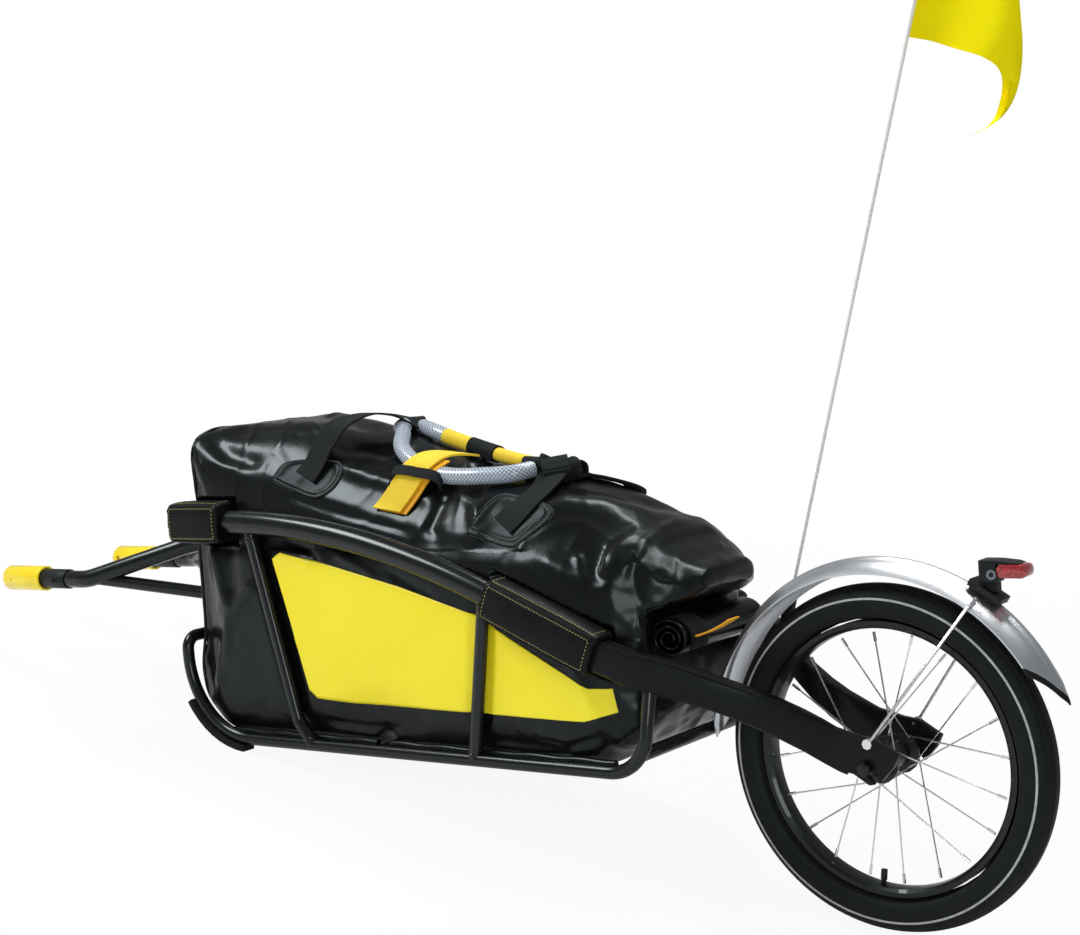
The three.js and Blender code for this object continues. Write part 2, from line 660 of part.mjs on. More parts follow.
// Centre line of a top rail seen from the side, from the front to its rear end
function railHeightAt(x) {
  if (x <= railArcStart) return railHeight;
  if (x <= railArcEnd) {
    const drop = railArcRadius - Math.sqrt(railArcRadius ** 2 - (x - railArcStart) ** 2);
    return railHeight - drop;
  }
  const endHeight = railHeight - railArcRadius * (1 - Math.cos(railArcAngle));
  return endHeight - (x - railArcEnd) * Math.tan(railArcAngle);
}

function railBody(side, radius = railRadius) {
  const y = side * railHalfWidth;
  const corner = filleted([
    at(railFrontX, y - side * (railCorner + 2 * railRadius), railHeight),
    at(railFrontX, y, railHeight), at(railArcStart, y, railHeight),
  ], railCorner);
  const steps = 7;
  for (let i = 1; i <= steps; i += 1) {
    const x = THREE.MathUtils.lerp(railArcStart, railArcEnd, i / steps);
    corner.push(at(x, y, railHeightAt(x)));
  }
  corner.push(at(railRearX, y, railHeightAt(railRearX)));
  return tube(corner, radius);
}

function railFrontBody() {
  const inner = railHalfWidth - railCorner - 2 * railRadius - gap;
  const bar = rod(at(railFrontX, -inner, railHeight), at(railFrontX, inner, railHeight), railRadius);
  const lug = rod(at(headX, 0, upperLug.bottom), at(headX, 0, upperLug.top), lugRadius, roundSides);
  const bore = rod(
    at(headX, 0, upperLug.bottom - cutOverrun), at(headX, 0, upperLug.top + cutOverrun),
    headAxisRadius + gap, tubeSides);
  const web = block(
    at((railFrontX + headX) / 2, 0, (upperLug.bottom + upperLug.top) / 2),
    at(railFrontX - headX, lugRadius, railRadius));
  return cut(join(bar, lug, web), bore);
}

// Base tube of one side: front cross end, runner bend, straight, rear bend and upright to the arm
function basePoints(side) {
  const y = side * baseHalfWidth;
  const runnerZ = baseHeight + runnerRadius;
  const frontX = runnerX - runnerRadius;
  const crossZ = runnerZ + baseFrontRise;
  const turned = filleted([
    at(frontX, y - side * 2 * baseFrontRise, crossZ), at(frontX, y, crossZ), at(frontX, y, runnerZ),
  ], baseFrontRise - baseRadius);
  turned.pop();
  const points = [...turned];
  const steps = 6;
  for (let i = 0; i <= steps; i += 1) {
    const angle = (1 - i / steps) * (Math.PI / 2);
    points.push(at(runnerX - Math.sin(angle) * runnerRadius, y, runnerZ - Math.cos(angle) * runnerRadius));
  }
  const bendSteps = 6;
  for (let i = 0; i <= bendSteps; i += 1) {
    const angle = (i / bendSteps) * baseRearAngle;
    points.push(at(
      baseRearX + Math.sin(angle) * baseRearRadius, y,
      baseHeight + baseRearRadius * (1 - Math.cos(angle))));
  }
  points.push(at(uprightTop.x, side * uprightTop.y, uprightTop.z));
  return points;
}

function baseBody(side) {
  return cut(tube(basePoints(side), baseRadius), armBody(side, gap));
}

function baseFrontBody() {
  const crossZ = baseHeight + runnerRadius + baseFrontRise;
  const x = runnerX - runnerRadius;
  const inner = baseHalfWidth - 2 * baseFrontRise - gap;
  const bar = rod(at(x, -inner, crossZ), at(x, inner, crossZ), baseRadius);
  const lug = rod(at(headX, 0, lowerLug.bottom), at(headX, 0, lowerLug.top), lugRadius, roundSides);
  const web = block(
    at((x + headX) / 2, 0, crossZ), at(x - headX, 2 * lugRadius, baseRadius));
  const bore = rod(
    at(headX, 0, lowerLug.bottom - cutOverrun), at(headX, 0, lowerLug.top + cutOverrun),
    headAxisRadius + gap, tubeSides);
  return cut(join(bar, lug, web), bore);
}

function frontStayBody(side) {
  const y = side * railHalfWidth;
  const stay = tube(filleted([
    at(frontStay.topX, y, frontStay.topZ), at(frontStay.kneeX, y, frontStay.kneeZ),
    at(frontStay.footX, y, baseHeight),
  ], 3 * frontStay.radius), frontStay.radius);
  return cut(stay, railBody(side, railRadius + gap), tube(basePoints(side), baseRadius + gap));
}

function midStayRod(side, radius) {
  const y = side * railHalfWidth;
  const foot = at(midStayTopX - midStay.lean, y, baseHeight);
  return rod(at(midStayTopX, y, railHeightAt(midStayTopX)), foot, radius);
}

function midStayBody(side) {
  return cut(
    midStayRod(side, midStay.radius), railBody(side, railRadius + gap), tube(basePoints(side), baseRadius + gap));
}

const rearCrossX = -(fenderRadius + gap + baseRadius);
const rearCrossZ = baseHeight + baseRearRadius * (1 - Math.cos(Math.asin((rearCrossX - baseRearX) / baseRearRadius)));

function crossBody(x, z) {
  const bar = rod(at(x, -baseHalfWidth, z), at(x, baseHalfWidth, z), baseRadius);
  return cut(bar, tube(basePoints(-1), baseRadius + gap), tube(basePoints(1), baseRadius + gap));
}

// A rubber band under the runner bend, which the parked trailer stands on
function skidBody(side) {
  const innerRadius = runnerRadius + baseRadius + skid.innerClearance;
  const outerRadius = innerRadius + skid.thickness;
  const steps = 8;
  const start = skid.start;
  const outline = [];
  for (let i = 0; i <= steps; i += 1) {
    const angle = start + (i / steps) * (skid.reach - start);
    outline.push([angle, outerRadius]);
  }
  for (let i = steps; i >= 0; i -= 1) {
    const angle = start + (i / steps) * (skid.reach - start);
    outline.push([angle, innerRadius]);
  }
  const centreZ = baseHeight + runnerRadius;
  const place = (y) => ([angle, radius]) =>
    at(runnerX - Math.sin(angle) * radius, y, centreZ - Math.cos(angle) * radius);
  const y = side * baseHalfWidth;
  const half = skid.width / 2;
  const nearRow = outline.map(place(y - half));
  const farRow = outline.map(place(y + half));
  const outer = [];
  const inner = [];
  for (let i = 0; i <= steps; i += 1) {
    outer.push([nearRow[i], farRow[i]]);
    inner.push([nearRow[2 * steps + 1 - i], farRow[2 * steps + 1 - i]]);
  }
  return slab(outer, inner);
}

// One station of the arm, read at a share of the way from the rail to the axle plate
function armStation(share) {
  const read = (key) => along(armStationShares, key, share);
  const plateOuter = dropoutInner + dropoutWall;
  const armOuter = railHalfWidth + armWidth / 2;
  const width = THREE.MathUtils.lerp(dropoutWall, armWidth, read('width'));
  return {
    x: (railRearX + gap) * read('along'),
    y: THREE.MathUtils.lerp(plateOuter, armOuter, read('spread')) - width / 2,
    z: railHeightAt(railRearX) * read('rise'),
    halfWidth: width / 2,
    halfDepth: (armDepth * read('depth')) / 2,
  };
}

// Swing arm: a chamfered box section that curves in and deepens towards the axle plate
function armBody(side, grow = 0) {
  const rings = [];
  for (let i = 0; i <= armSteps; i += 1) {
    const share = i / armSteps;
    const { x, y, z, halfWidth, halfDepth } = armStation(share);
    const w = halfWidth + grow;
    const h = halfDepth + grow;
    const corner = Math.min(armCornerShare * h, w / 2);
    const lean = railArcAngle * Math.max(0, 1 - share / armLeanShare);
    const outline = [
      [-w, h - corner], [-w + corner, h], [w - corner, h], [w, h - corner],
      [w, corner - h], [w - corner, -h], [corner - w, -h], [-w, corner - h],
    ];
    rings.push(outline.map(([across, up]) =>
      at(x + up * Math.sin(lean), side * (y + across), z + up * Math.cos(lean))));
  }
  return loft(rings);
}

function dropoutPlate(side) {
  const faces = [dropoutInner, dropoutInner + dropoutWall];
  return loft(faces.map((y) =>
    dropoutOutlineShares.map(([x, z]) => at(x * dropoutReach, side * y, z * dropoutReach))));
}

function armAndPlate(side) {
  const plateMiddle = side * (dropoutInner + dropoutWall / 2);
  const slotRadius = axleRadius + gap;
  const overrun = dropoutWall;
  const hole = rod(at(0, plateMiddle - overrun, 0), at(0, plateMiddle + overrun, 0), slotRadius, tubeSides);
  const slotDirection = at(slotDirectionShares[0], 0, slotDirectionShares[1]).normalize();
  const slotLength = 2 * axleRadius + 3 * dropoutWall;
  const slot = new THREE.BoxGeometry(2 * slotRadius, 2 * overrun, slotLength)
    .translate(0, 0, -slotLength / 2)
    .rotateY(-Math.atan2(slotDirection.x, -slotDirection.z))
    .translate(0, plateMiddle, 0);
  const eye = rod(
    at(stayEye.x, plateMiddle - overrun, stayEye.z), at(stayEye.x, plateMiddle + overrun, stayEye.z),
    stayRadius + gap, thinSides);
  return cut(join(armBody(side), dropoutPlate(side)), hole, slot, eye);
}

function addFrame() {
  add('rail_front', 'frameBlack', railFrontBody());
  add('base_front', 'frameBlack', baseFrontBody());
  for (const [name, side] of Object.entries(sides)) {
    add(`rail_${name}`, 'frameBlack', railBody(side));
    add(`base_${name}`, 'frameBlack', baseBody(side));
    add(`front_stay_${name}`, 'frameBlack', frontStayBody(side));
    add(`mid_stay_${name}`, 'frameBlack', midStayBody(side));
    add(`arm_${name}`, 'armBlack', armAndPlate(side));
    add(`skid_${name}`, 'rubber', skidBody(side));
  }
  add('floor_cross', 'frameBlack', crossBody(floorCrossX, baseHeight));
  add('rear_cross', 'frameBlack', crossBody(rearCrossX, rearCrossZ));
}

// Rail wraps: a rounded block around the rail, bored for it
function roundedRectangle(width, height, radius) {
  const shape = new THREE.Shape();
  const w = width / 2;
  const h = height / 2;
  shape.moveTo(-w + radius, -h);
  shape.lineTo(w - radius, -h);
  shape.quadraticCurveTo(w, -h, w, -h + radius);
  shape.lineTo(w, h - radius);
  shape.quadraticCurveTo(w, h, w - radius, h);
  shape.lineTo(-w + radius, h);
  shape.quadraticCurveTo(-w, h, -w, h - radius);
  shape.lineTo(-w, -h + radius);
  shape.quadraticCurveTo(-w, -h, -w + radius, -h);
  return shape;
}

function frontPadBlock(side, grow, hole) {
  const length = frontPad.rear - frontPad.front + 2 * grow;
  const shape = roundedRectangle(frontPad.depth + 2 * grow, frontPad.height + 2 * grow, frontPad.corner);
  if (hole) shape.holes.push(hole);
  return closed(new THREE.ExtrudeGeometry(shape, { depth: length, bevelEnabled: false, curveSegments: 3 })
    .rotateX(Math.PI / 2).rotateZ(Math.PI / 2)
    .translate(frontPad.front - grow, side * railHalfWidth, railHeight));
}

function rearPadBlock(side, grow, hole) {
  const startX = railArcEnd + (rearPad.start - grow) * Math.cos(railArcAngle);
  const shape = roundedRectangle(rearPad.depth + 2 * grow, rearPad.height + 2 * grow, rearPad.corner);
  if (hole) shape.holes.push(hole);
  const length = rearPad.length + 2 * grow;
  return closed(new THREE.ExtrudeGeometry(shape, { depth: length, bevelEnabled: false, curveSegments: 3 })
    .rotateX(Math.PI / 2).rotateZ(Math.PI / 2).rotateY(railArcAngle)
    .translate(startX, side * railHalfWidth, railHeightAt(startX)));
}

const frontPadSpace = (side) => frontPadBlock(side, gap);
const rearPadSpace = (side) => rearPadBlock(side, gap);

function addPads() {
  for (const [name, side] of Object.entries(sides)) {
    add(`rail_pad_front_${name}`, 'leather', cut(frontPadBlock(side, 0), railBody(side, clearing(railRadius))));
    add(`rail_pad_rear_${name}`, 'leather', cut(
      rearPadBlock(side, 0, roundedRectangle(rearPad.boreDepth, rearPad.boreHeight, rearPad.corner)),
      armBody(side, gap), midStayRod(side, clearing(midStay.radius))));
  }
}

// Steering head: the pin stands in the frame's two lugs, and the drawbar's sleeve turns on it
function kingPinBody() {
  const shank = rod(
    at(headX, 0, lowerLug.bottom - gap - pinHead.height), at(headX, 0, upperLug.top + gap + pinHead.height),
    headAxisRadius, tubeSides);
  const head = rod(
    at(headX, 0, upperLug.top + gap), at(headX, 0, upperLug.top + gap + pinHead.height), pinHead.radius, tubeSides);
  const nut = rod(
    at(headX, 0, lowerLug.bottom - gap - pinHead.height), at(headX, 0, lowerLug.bottom - gap), pinHead.radius, 6);
  return join(shank, head, nut);
}

const sleeveBottom = lowerLug.top + 2 * gap + bushFlange;
const sleeveTop = upperLug.bottom - 2 * gap - bushFlange;

function yokeSleeveBody() {
  return revolveUpright([
    [sleeveBore, sleeveBottom], [sleeveRadius, sleeveBottom], [sleeveRadius, sleeveTop], [sleeveBore, sleeveTop],
  ]);
}

function revolveUpright(profile) {
  return revolve(profile, roundSides).rotateX(Math.PI / 2).translate(headX, 0, 0);
}

// A flanged bush in the sleeve's end, turned about the steering axis
function bushBody(end, inwards) {
  const bore = headAxisRadius + gap;
  const outer = sleeveBore - gap;
  const flange = sleeveRadius - gap;
  const faceZ = end - inwards * (bushFlange + gap);
  const shoulder = end - inwards * gap;
  const inner = end + inwards * 2 * sleeveBore;
  return revolveUpright([
    [bore, faceZ], [flange, faceZ], [flange, shoulder], [outer, shoulder], [outer, inner], [bore, inner],
  ]);
}

function yokeArmPoints(side) {
  return filleted([
    at(headX, side * sleeveRadius / 2, yokeRootZ),
    at(headX - 3 * sleeveRadius, side * 3 * yokeRadius, yokeRootZ - sleeveRadius / 2),
    at(collar.rear + 3 * yokeRadius, side * couplerHalfSpan, couplerHeight),
    at(collar.rear - collar.radius, side * couplerHalfSpan, couplerHeight),
  ], 4 * yokeRadius);
}

function yokeBody(side) {
  const points = yokeArmPoints(side);
  const arm = tube(points, yokeRadius);
  const joint = points[points.length - 6].clone().lerp(points[2], 0.12);
  const brace = tube([
    at(headX, side * sleeveRadius / 2, braceRootZ), joint.setZ(joint.z - yokeRadius / 2),
  ], braceRadius);
  const sleeveSpace = rod(
    at(headX, 0, sleeveBottom - cutOverrun), at(headX, 0, sleeveTop + cutOverrun),
    sleeveRadius + gap, roundSides);
  const otherSide = block(at(headX - sleeveRadius, side * -couplerHalfSpan, yokeRootZ),
    at(4 * couplerHalfSpan, 2 * couplerHalfSpan - gap, 4 * couplerHalfSpan));
  return cut(join(arm, brace), sleeveSpace, otherSide, collarSpace(side));
}

const inCoupler = (side, x) => at(x, side * couplerHalfSpan, couplerHeight);

function collarSpace(side) {
  return rod(
    inCoupler(side, collar.rear - gap - collar.radius), inCoupler(side, collar.front), collar.radius, tubeSides);
}

// Black coupler end: a socket for the drawbar tube, and a rod whose slot takes the axle nut
function couplerBody(side) {
  const body = rod(inCoupler(side, collar.rear), inCoupler(side, collar.front), collar.radius, roundSides);
  const pin = rod(inCoupler(side, collar.front), inCoupler(side, couplerRod.front), couplerRod.radius, roundSides);
  const tip = collar.rear - collar.radius;
  const socket = tube(
    [inCoupler(side, collar.rear + cutOverrun), inCoupler(side, tip - gap)], clearing(yokeRadius, roundSides), roundSides);
  const boltY = side * (couplerHalfSpan + collar.radius);
  const boltX = collar.rear - 1.6 * collar.radius;
  const bolt = rod(
    at(boltX, boltY - side * cutOverrun, couplerHeight), at(boltX, boltY + side * collar.boltLength, couplerHeight),
    collar.boltRadius, thinSides);
  const slotCentre = inCoupler(side, couplerSlot.centreX);
  const slotSize = at(couplerSlot.width, 4 * couplerRod.radius, couplerSlot.height);
  const slot = block(slotCentre.clone().setZ(couplerHeight - couplerSlot.height / 2), slotSize);
  const crown = rod(
    slotCentre.clone().setY(slotCentre.y - 2 * couplerRod.radius),
    slotCentre.clone().setY(slotCentre.y + 2 * couplerRod.radius), couplerSlot.width / 2, tubeSides);
  return cut(join(body, pin, bolt), socket, slot, crown);
}

function couplerSleeveBody(side) {
  const outside = rod(inCoupler(side, sleeve.front), inCoupler(side, sleeve.rear), sleeve.radius, roundSides);
  const bore = rod(
    inCoupler(side, sleeve.lipX), inCoupler(side, sleeve.rear + cutOverrun), sleeve.bore, roundSides);
  const throat = rod(
    inCoupler(side, sleeve.front - cutOverrun), inCoupler(side, sleeve.lipX + cutOverrun),
    couplerRod.radius + gap, roundSides);
  const window = block(
    at(couplerSlot.centreX, side * (couplerHalfSpan - sleeve.radius), couplerHeight),
    at(couplerSlot.width, sleeve.radius, couplerSlot.width));
  const detent = rod(
    at(sleeve.lipX, side * couplerHalfSpan, couplerHeight),
    at(sleeve.lipX, side * (couplerHalfSpan + 2 * sleeve.radius), couplerHeight), collar.boltRadius / 2, thinSides);
  return cut(outside, bore, throat, window, detent);
}

// Round wire coil between the sleeve's inner lip and the collar, as one unbroken tube
function couplerSpringBody(side) {
  const start = sleeve.lipX + gap + coilSpring.wire;
  const end = collar.front - gap - coilSpring.wire;
  const steps = coilSpring.turns * thinSides;
  const points = [];
  for (let i = 0; i <= steps; i += 1) {
    const angle = (i / thinSides) * Math.PI * 2;
    points.push(at(
      THREE.MathUtils.lerp(start, end, i / steps),
      side * couplerHalfSpan + Math.cos(angle) * coilSpring.radius,
      couplerHeight + Math.sin(angle) * coilSpring.radius));
  }
  return tube(points, coilSpring.wire, spokeSides);
}

function addDrawbar() {
  add('king_pin', 'steel', kingPinBody());
  add('yoke_sleeve', 'frameBlack', yokeSleeveBody());
  add('steering_bush_lower', 'blackPlastic', bushBody(sleeveBottom, 1));
  add('steering_bush_upper', 'blackPlastic', bushBody(sleeveTop, -1));
  for (const [name, side] of Object.entries(sides)) {
    add(`yoke_${name}`, 'frameBlack', yokeBody(side));
    add(`coupler_${name}`, 'blackPlastic', couplerBody(side));
    add(`coupler_spring_${name}`, 'steel', couplerSpringBody(side));
    add(`coupler_sleeve_${name}`, 'yellow', couplerSleeveBody(side));
  }
}

// Mudguard section: radius at a share of the half width, with a raised centre ridge
function fenderRadiusAt(share) {
  const ridge = Math.max(0, 1 - Math.abs(share) / 0.3);
  return fenderRadius - fenderRidge - fenderEdgeDrop * share ** 2 + fenderRidge * ridge;
}

const fenderShares = [-1, -0.65, -0.3, 0, 0.3, 0.65, 1];

function fenderPiece(angleFrom, angleTo, steps) {
  const outer = [];
  const inner = [];
  for (let i = 0; i <= steps; i += 1) {
    const place = (drop) => fenderShares.map((share) => {
      const angle = THREE.MathUtils.lerp(angleFrom(Math.abs(share)), angleTo(Math.abs(share)), i / steps);
      return inWheel(fenderRadiusAt(share) - drop, angle, share * fenderHalfWidth);
    });
    outer.push(place(0));
    inner.push(place(fenderWall));
  }
  return slab(outer, inner);
}

const fenderEndAngle = (share) => THREE.MathUtils.lerp(fenderTipAngle, fenderEdgeAngle, share);

function addFender() {
  const gapAngle = gap / fenderRadius;
  add('fender', 'aluminium', fenderPiece(
    fenderEndAngle, (share) => THREE.MathUtils.lerp(fenderFrontAngle, fenderFrontEdgeAngle, share), fenderSteps));
  add('fender_end_trim', 'blackPlastic', fenderPiece(
    (share) => fenderEndAngle(share) - gapAngle - fenderTrimLength,
    (share) => fenderEndAngle(share) - gapAngle, 2));
  for (const [name, side] of Object.entries(sides)) {
    add(`fender_stay_${name}`, 'steel', fenderStayBody(side));
  }
}

// Wire stay from the eyelet of the axle plate up to the mudguard's crown
function fenderStayBody(side) {
  const plateOuter = dropoutInner + dropoutWall + gap;
  const eyeNear = at(stayEye.x, side * plateOuter, stayEye.z);
  const eyeFar = at(stayEye.x, side * (plateOuter + stayEye.length), stayEye.z);
  const head = rod(eyeNear, eyeFar, stayEye.radius, thinSides);
  const screw = rod(
    at(stayEye.x, side * (dropoutInner - gap), stayEye.z), eyeFar, stayRadius, thinSides);
  const lift = stayRadius + gap;
  const edge = inWheel(fenderRadiusAt(1) + lift, stayTopAngle, side * (fenderHalfWidth + lift));
  const mid = inWheel(fenderRadiusAt(0.6) + lift + fenderWall, stayTopAngle, side * 0.66 * fenderHalfWidth);
  const stay = tube([
    at(stayEye.x, side * (plateOuter + stayEye.length / 2), stayEye.z), edge, mid,
  ], stayRadius, thinSides);
  return join(head, screw, stay);
}

// Light on the mudguard: foot, stem and housing are drawn upright and then leant back to the crown
function onCrown(geometry) {
  const base = inWheel(fenderRadius + gap, lightAngle);
  return geometry.translate(base.x, base.y, base.z);
}

function lightFootBody() {
  const foot = new THREE.BoxGeometry(lightFoot.length, lightFoot.width, lightFoot.height)
    .translate(lightFoot.offset, 0, lightFoot.height / 2)
    .rotateY(Math.PI / 2 - lightAngle);
  const stem = new THREE.BoxGeometry(lightStem.length, lightStem.width, lightStem.height)
    .translate(lightHousing.offset, 0, lightStem.height / 2);
  const above = block(
    at(lightHousing.offset - lightHousing.length / 2 - gap + lightFoot.length / 2, 0,
      lightStem.height + lightFoot.length / 2),
    at(lightFoot.length, 2 * lightFoot.width, lightFoot.length));
  return cut(onCrown(cut(join(foot, stem), above)), fenderSpace());
}

// The space that the mudguard fills near the light, with the usual gap
function fenderSpace() {
  const outer = [];
  const inner = [];
  for (const turn of [-0.16, 0, 0.16]) {
    const place = (radiusAt) => fenderShares.map((share) =>
      inWheel(radiusAt(share), lightAngle + turn, share * (fenderHalfWidth + cutOverrun)));
    outer.push(place((share) => fenderRadiusAt(share) + 2 * gap));
    inner.push(place(() => fenderRadius - 2 * fenderEdgeDrop));
  }
  return slab(outer, inner);
}

function lightHousingBody() {
  const base = lightStem.height + gap;
  const half = lightHousing.width / 2;
  const { length, offset, height, brow, browWall } = lightHousing;
  const front = offset - length / 2;
  const rear = offset + length / 2;
  const outline = [
    [front, base], [rear, base], [rear, base + height - browWall],
    [rear + brow + lens.round, base + height - browWall], [rear + brow, base + height - browWall / 2],
    [rear, base + height], [front, base + height],
  ];
  return onCrown(closed(new THREE.ExtrudeGeometry(
    new THREE.Shape(outline.map(([x, z]) => new THREE.Vector2(x, z))),
    { depth: 2 * half, bevelEnabled: false }).translate(0, 0, -half).rotateX(Math.PI / 2)));
}

function lightLensBody() {
  const shape = roundedRectangle(lens.length, lens.height, lens.round);
  const startX = lightHousing.offset + lightHousing.length / 2 + gap;
  const z = lightStem.height + lightHousing.height - lightHousing.browWall - lens.height / 2 - gap;
  return onCrown(closed(new THREE.ExtrudeGeometry(
    shape, { depth: lens.width, bevelEnabled: false, curveSegments: 4 })
    .translate(startX + lens.length / 2, z, -lens.width / 2).rotateX(Math.PI / 2)));
}

// Flag socket on the right arm, the pole that pulls out of it, and the flag
const poleDirection = at(Math.sin(flagPole.tilt), 0, Math.cos(flagPole.tilt));

function armTopAt(share) {
  const { x, y, z, halfDepth } = armStation(share);
  return at(x, y, z + halfDepth);
}

const poleFoot = armTopAt(poleFootShare).add(at(0, 0, poleSocket.lift));

function flagSocketBody() {
  const foot = poleFoot.clone().addScaledVector(poleDirection, -poleSocket.outerRadius);
  const top = poleFoot.clone().addScaledVector(poleDirection, poleSocket.length);
  const holeBottom = poleFoot.clone().addScaledVector(poleDirection, poleSocket.floor);
  const outside = rod(foot, top, poleSocket.outerRadius);
  const hole = rod(holeBottom, top.clone().addScaledVector(poleDirection, cutOverrun), flagPole.radius + gap, tubeSides);
  return cut(outside, hole, armBody(1, gap));
}

function flagPoleBody() {
  const start = poleFoot.clone().addScaledVector(poleDirection, poleSocket.floor + gap);
  return rod(start, start.clone().addScaledVector(poleDirection, flagPole.length), flagPole.radius, thinSides);
}

// Flag cloth: sags away from its hoist edge, then folds back on itself at the fly
function flagBody() {
  const foldRoute = new THREE.CatmullRomCurve3(flagRouteShares.map(([reach, sway, droop]) =>
    at(reach * flagCloth.fly, sway * flagCloth.fly, -droop * flagCloth.fly)));
  const top = poleFoot.clone().addScaledVector(poleDirection, poleSocket.floor + flagPole.length);
  const clearOfPole = at((flagPole.radius + gap) / Math.cos(flagPole.tilt), 0, 0);
  const sheet = (offset) => {
    const grid = [];
    for (let i = 0; i <= flagCloth.columns; i += 1) {
      const u = i / flagCloth.columns;
      const tangent = foldRoute.getTangent(u);
      const face = at(-tangent.y, tangent.x, 0).normalize().multiplyScalar(offset);
      const row = [];
      for (let j = 0; j <= flagCloth.rows; j += 1) {
        const v = j / flagCloth.rows;
        const droopShare = THREE.MathUtils.lerp(flagTopDroopShare, 1, v);
        const fall = foldRoute.getPoint(u).multiply(at(1, 1, droopShare));
        row.push(top.clone().addScaledVector(poleDirection, -flagCloth.hoist * v).add(fall).add(face).add(clearOfPole));
      }
      grid.push(row);
    }
    return grid;
  };
  return slab(sheet(flagCloth.thickness / 2), sheet(-flagCloth.thickness / 2));
}

function addLightAndFlag() {
  add('light_bracket', 'blackPlastic', lightFootBody());
  add('light_housing', 'blackPlastic', lightHousingBody());
  add('light_lens', 'lensRed', lightLensBody());
  add('flag_socket', 'blackPlastic', flagSocketBody());
  add('flag_pole', 'white', flagPoleBody());
  add('flag', 'yellow', flagBody());
}

// Bag section at a share of the way along, with every size read from its table and grown by an outset
function bagStation(row, outset = 0) {
  const half = bagHalfWidth * row.half + outset;
  const top = bagBottom + bagHeight * row.top + outset;
  const bottom = bagBottom + bagHeight * row.bottom - outset;
  const middle = THREE.MathUtils.lerp(bottom, top, bagShoulderShare);
  const { round, square } = bagSquarePowerShares;
  return { x: bagFront + bagLength * row.along, half, top, bottom, middle, power: THREE.MathUtils.lerp(round, square, row.square) };
}

function bagSection(row, outset = 0) {
  const { x, half, top, bottom, middle, power } = bagStation(row, outset);
  const ring = [];
  for (let i = 0; i < bagColumns; i += 1) {
    const angle = (i / bagColumns) * Math.PI * 2;
    const c = Math.cos(angle);
    const s = Math.sin(angle);
    const bend = s > 0 ? power : bagSquarePowerShares.bottom;
    const y = Math.sign(c) * Math.abs(c) ** bend * half;
    const z = s > 0 ? middle + s ** bend * (top - middle) : middle - Math.abs(s) ** bend * (middle - bottom);
    ring.push(at(x, y, z));
  }
  return ring;
}

const bagShell = (rows, outset = 0) => loft(rows.map((row) => bagSection(row, outset)));

function bagBody() {
  const pads = Object.values(sides).flatMap((side) => [frontPadSpace(side), rearPadSpace(side)]);
  return cut(join(bagShell(bagStationShares), bagShell(bagTailShares)), ...pads);
}

// The rolled-up mouth of the bag, under the overhang of its tail
function rollTopBody() {
  const x = bagFront + bagLength + gap + rollTop.radiusX;
  const overhang = bagTailShares[1];
  const z = bagBottom + bagHeight * overhang.bottom - rollTop.radiusZ - rollTop.drop;
  const outline = [];
  for (let i = 0; i < roundSides; i += 1) {
    const angle = (i / roundSides) * Math.PI * 2;
    outline.push([x + Math.cos(angle) * rollTop.radiusX, z + Math.sin(angle) * rollTop.radiusZ]);
  }
  return loft([-rollTop.halfWidth, rollTop.halfWidth].map((y) => outline.map(([px, pz]) => at(px, y, pz))));
}

// Height of the bag's top at a share of its length and of its half width
function bagTopAt(share, across) {
  const rows = bagStationShares;
  const found = rows.findIndex((row) => row.along >= share);
  const i = Math.min(Math.max(found, 1), rows.length - 1);
  const t = (share - rows[i - 1].along) / (rows[i].along - rows[i - 1].along);
  const heightOf = (row) => {
    const { half, top, middle, power } = bagStation(row);
    const c = Math.min(Math.abs(across * bagHalfWidth) / half, 1) ** (1 / power);
    return middle + Math.sqrt(1 - c * c) ** power * (top - middle);
  };
  return THREE.MathUtils.lerp(heightOf(rows[i - 1]), heightOf(rows[i]), t);
}

function onBag(row, side) {
  const x = bagFront + bagLength * row.along;
  const y = side * row.across * bagHalfWidth;
  return at(x, y, bagTopAt(row.along, row.across) + row.lift * handleRise);
}

// Smooth route through rows of places on the bag
function bagRoute(rows, side) {
  const curve = new THREE.CatmullRomCurve3(rows.map((row) => onBag(row, side)));
  const steps = (rows.length - 1) * routeSteps;
  const route = [];
  for (let i = 0; i <= steps; i += 1) {
    const place = i / steps;
    const k = Math.min(Math.floor(place * (rows.length - 1)), rows.length - 2);
    const t = place * (rows.length - 1) - k;
    const width = THREE.MathUtils.lerp(rows[k].width, rows[k + 1].width, t);
    const turn = THREE.MathUtils.lerp(rows[k].turn, rows[k + 1].turn, t) * side * (Math.PI / 2);
    route.push({ point: curve.getPoint(place), tangent: curve.getTangent(place), width, turn });
  }
  return route;
}

// A flat strap along a route; a turn of zero spreads its width along the trailer, one across it
function strap(route, width, thickness) {
  const outer = [];
  const inner = [];
  for (const step of route) {
    const across = at(Math.cos(step.turn), -Math.sin(step.turn), 0);
    across.addScaledVector(step.tangent, -across.dot(step.tangent)).normalize();
    const up = across.clone().cross(step.tangent).normalize();
    const half = across.multiplyScalar((width * step.width) / 2);
    const lift = up.multiplyScalar(thickness / 2);
    outer.push([step.point.clone().sub(half).add(lift), step.point.clone().add(half).add(lift)]);
    inner.push([step.point.clone().sub(half).sub(lift), step.point.clone().add(half).sub(lift)]);
  }
  return slab(outer, inner);
}

// Each strap runs from its front seam through its hose to its rear seam
function handleWebBody(front, through, rear, side) {
  const route = bagRoute([...front, ...through, ...rear], side);
  return cut(strap(route, webbing.width, webbing.thickness), bagShell(bagStationShares, gap));
}

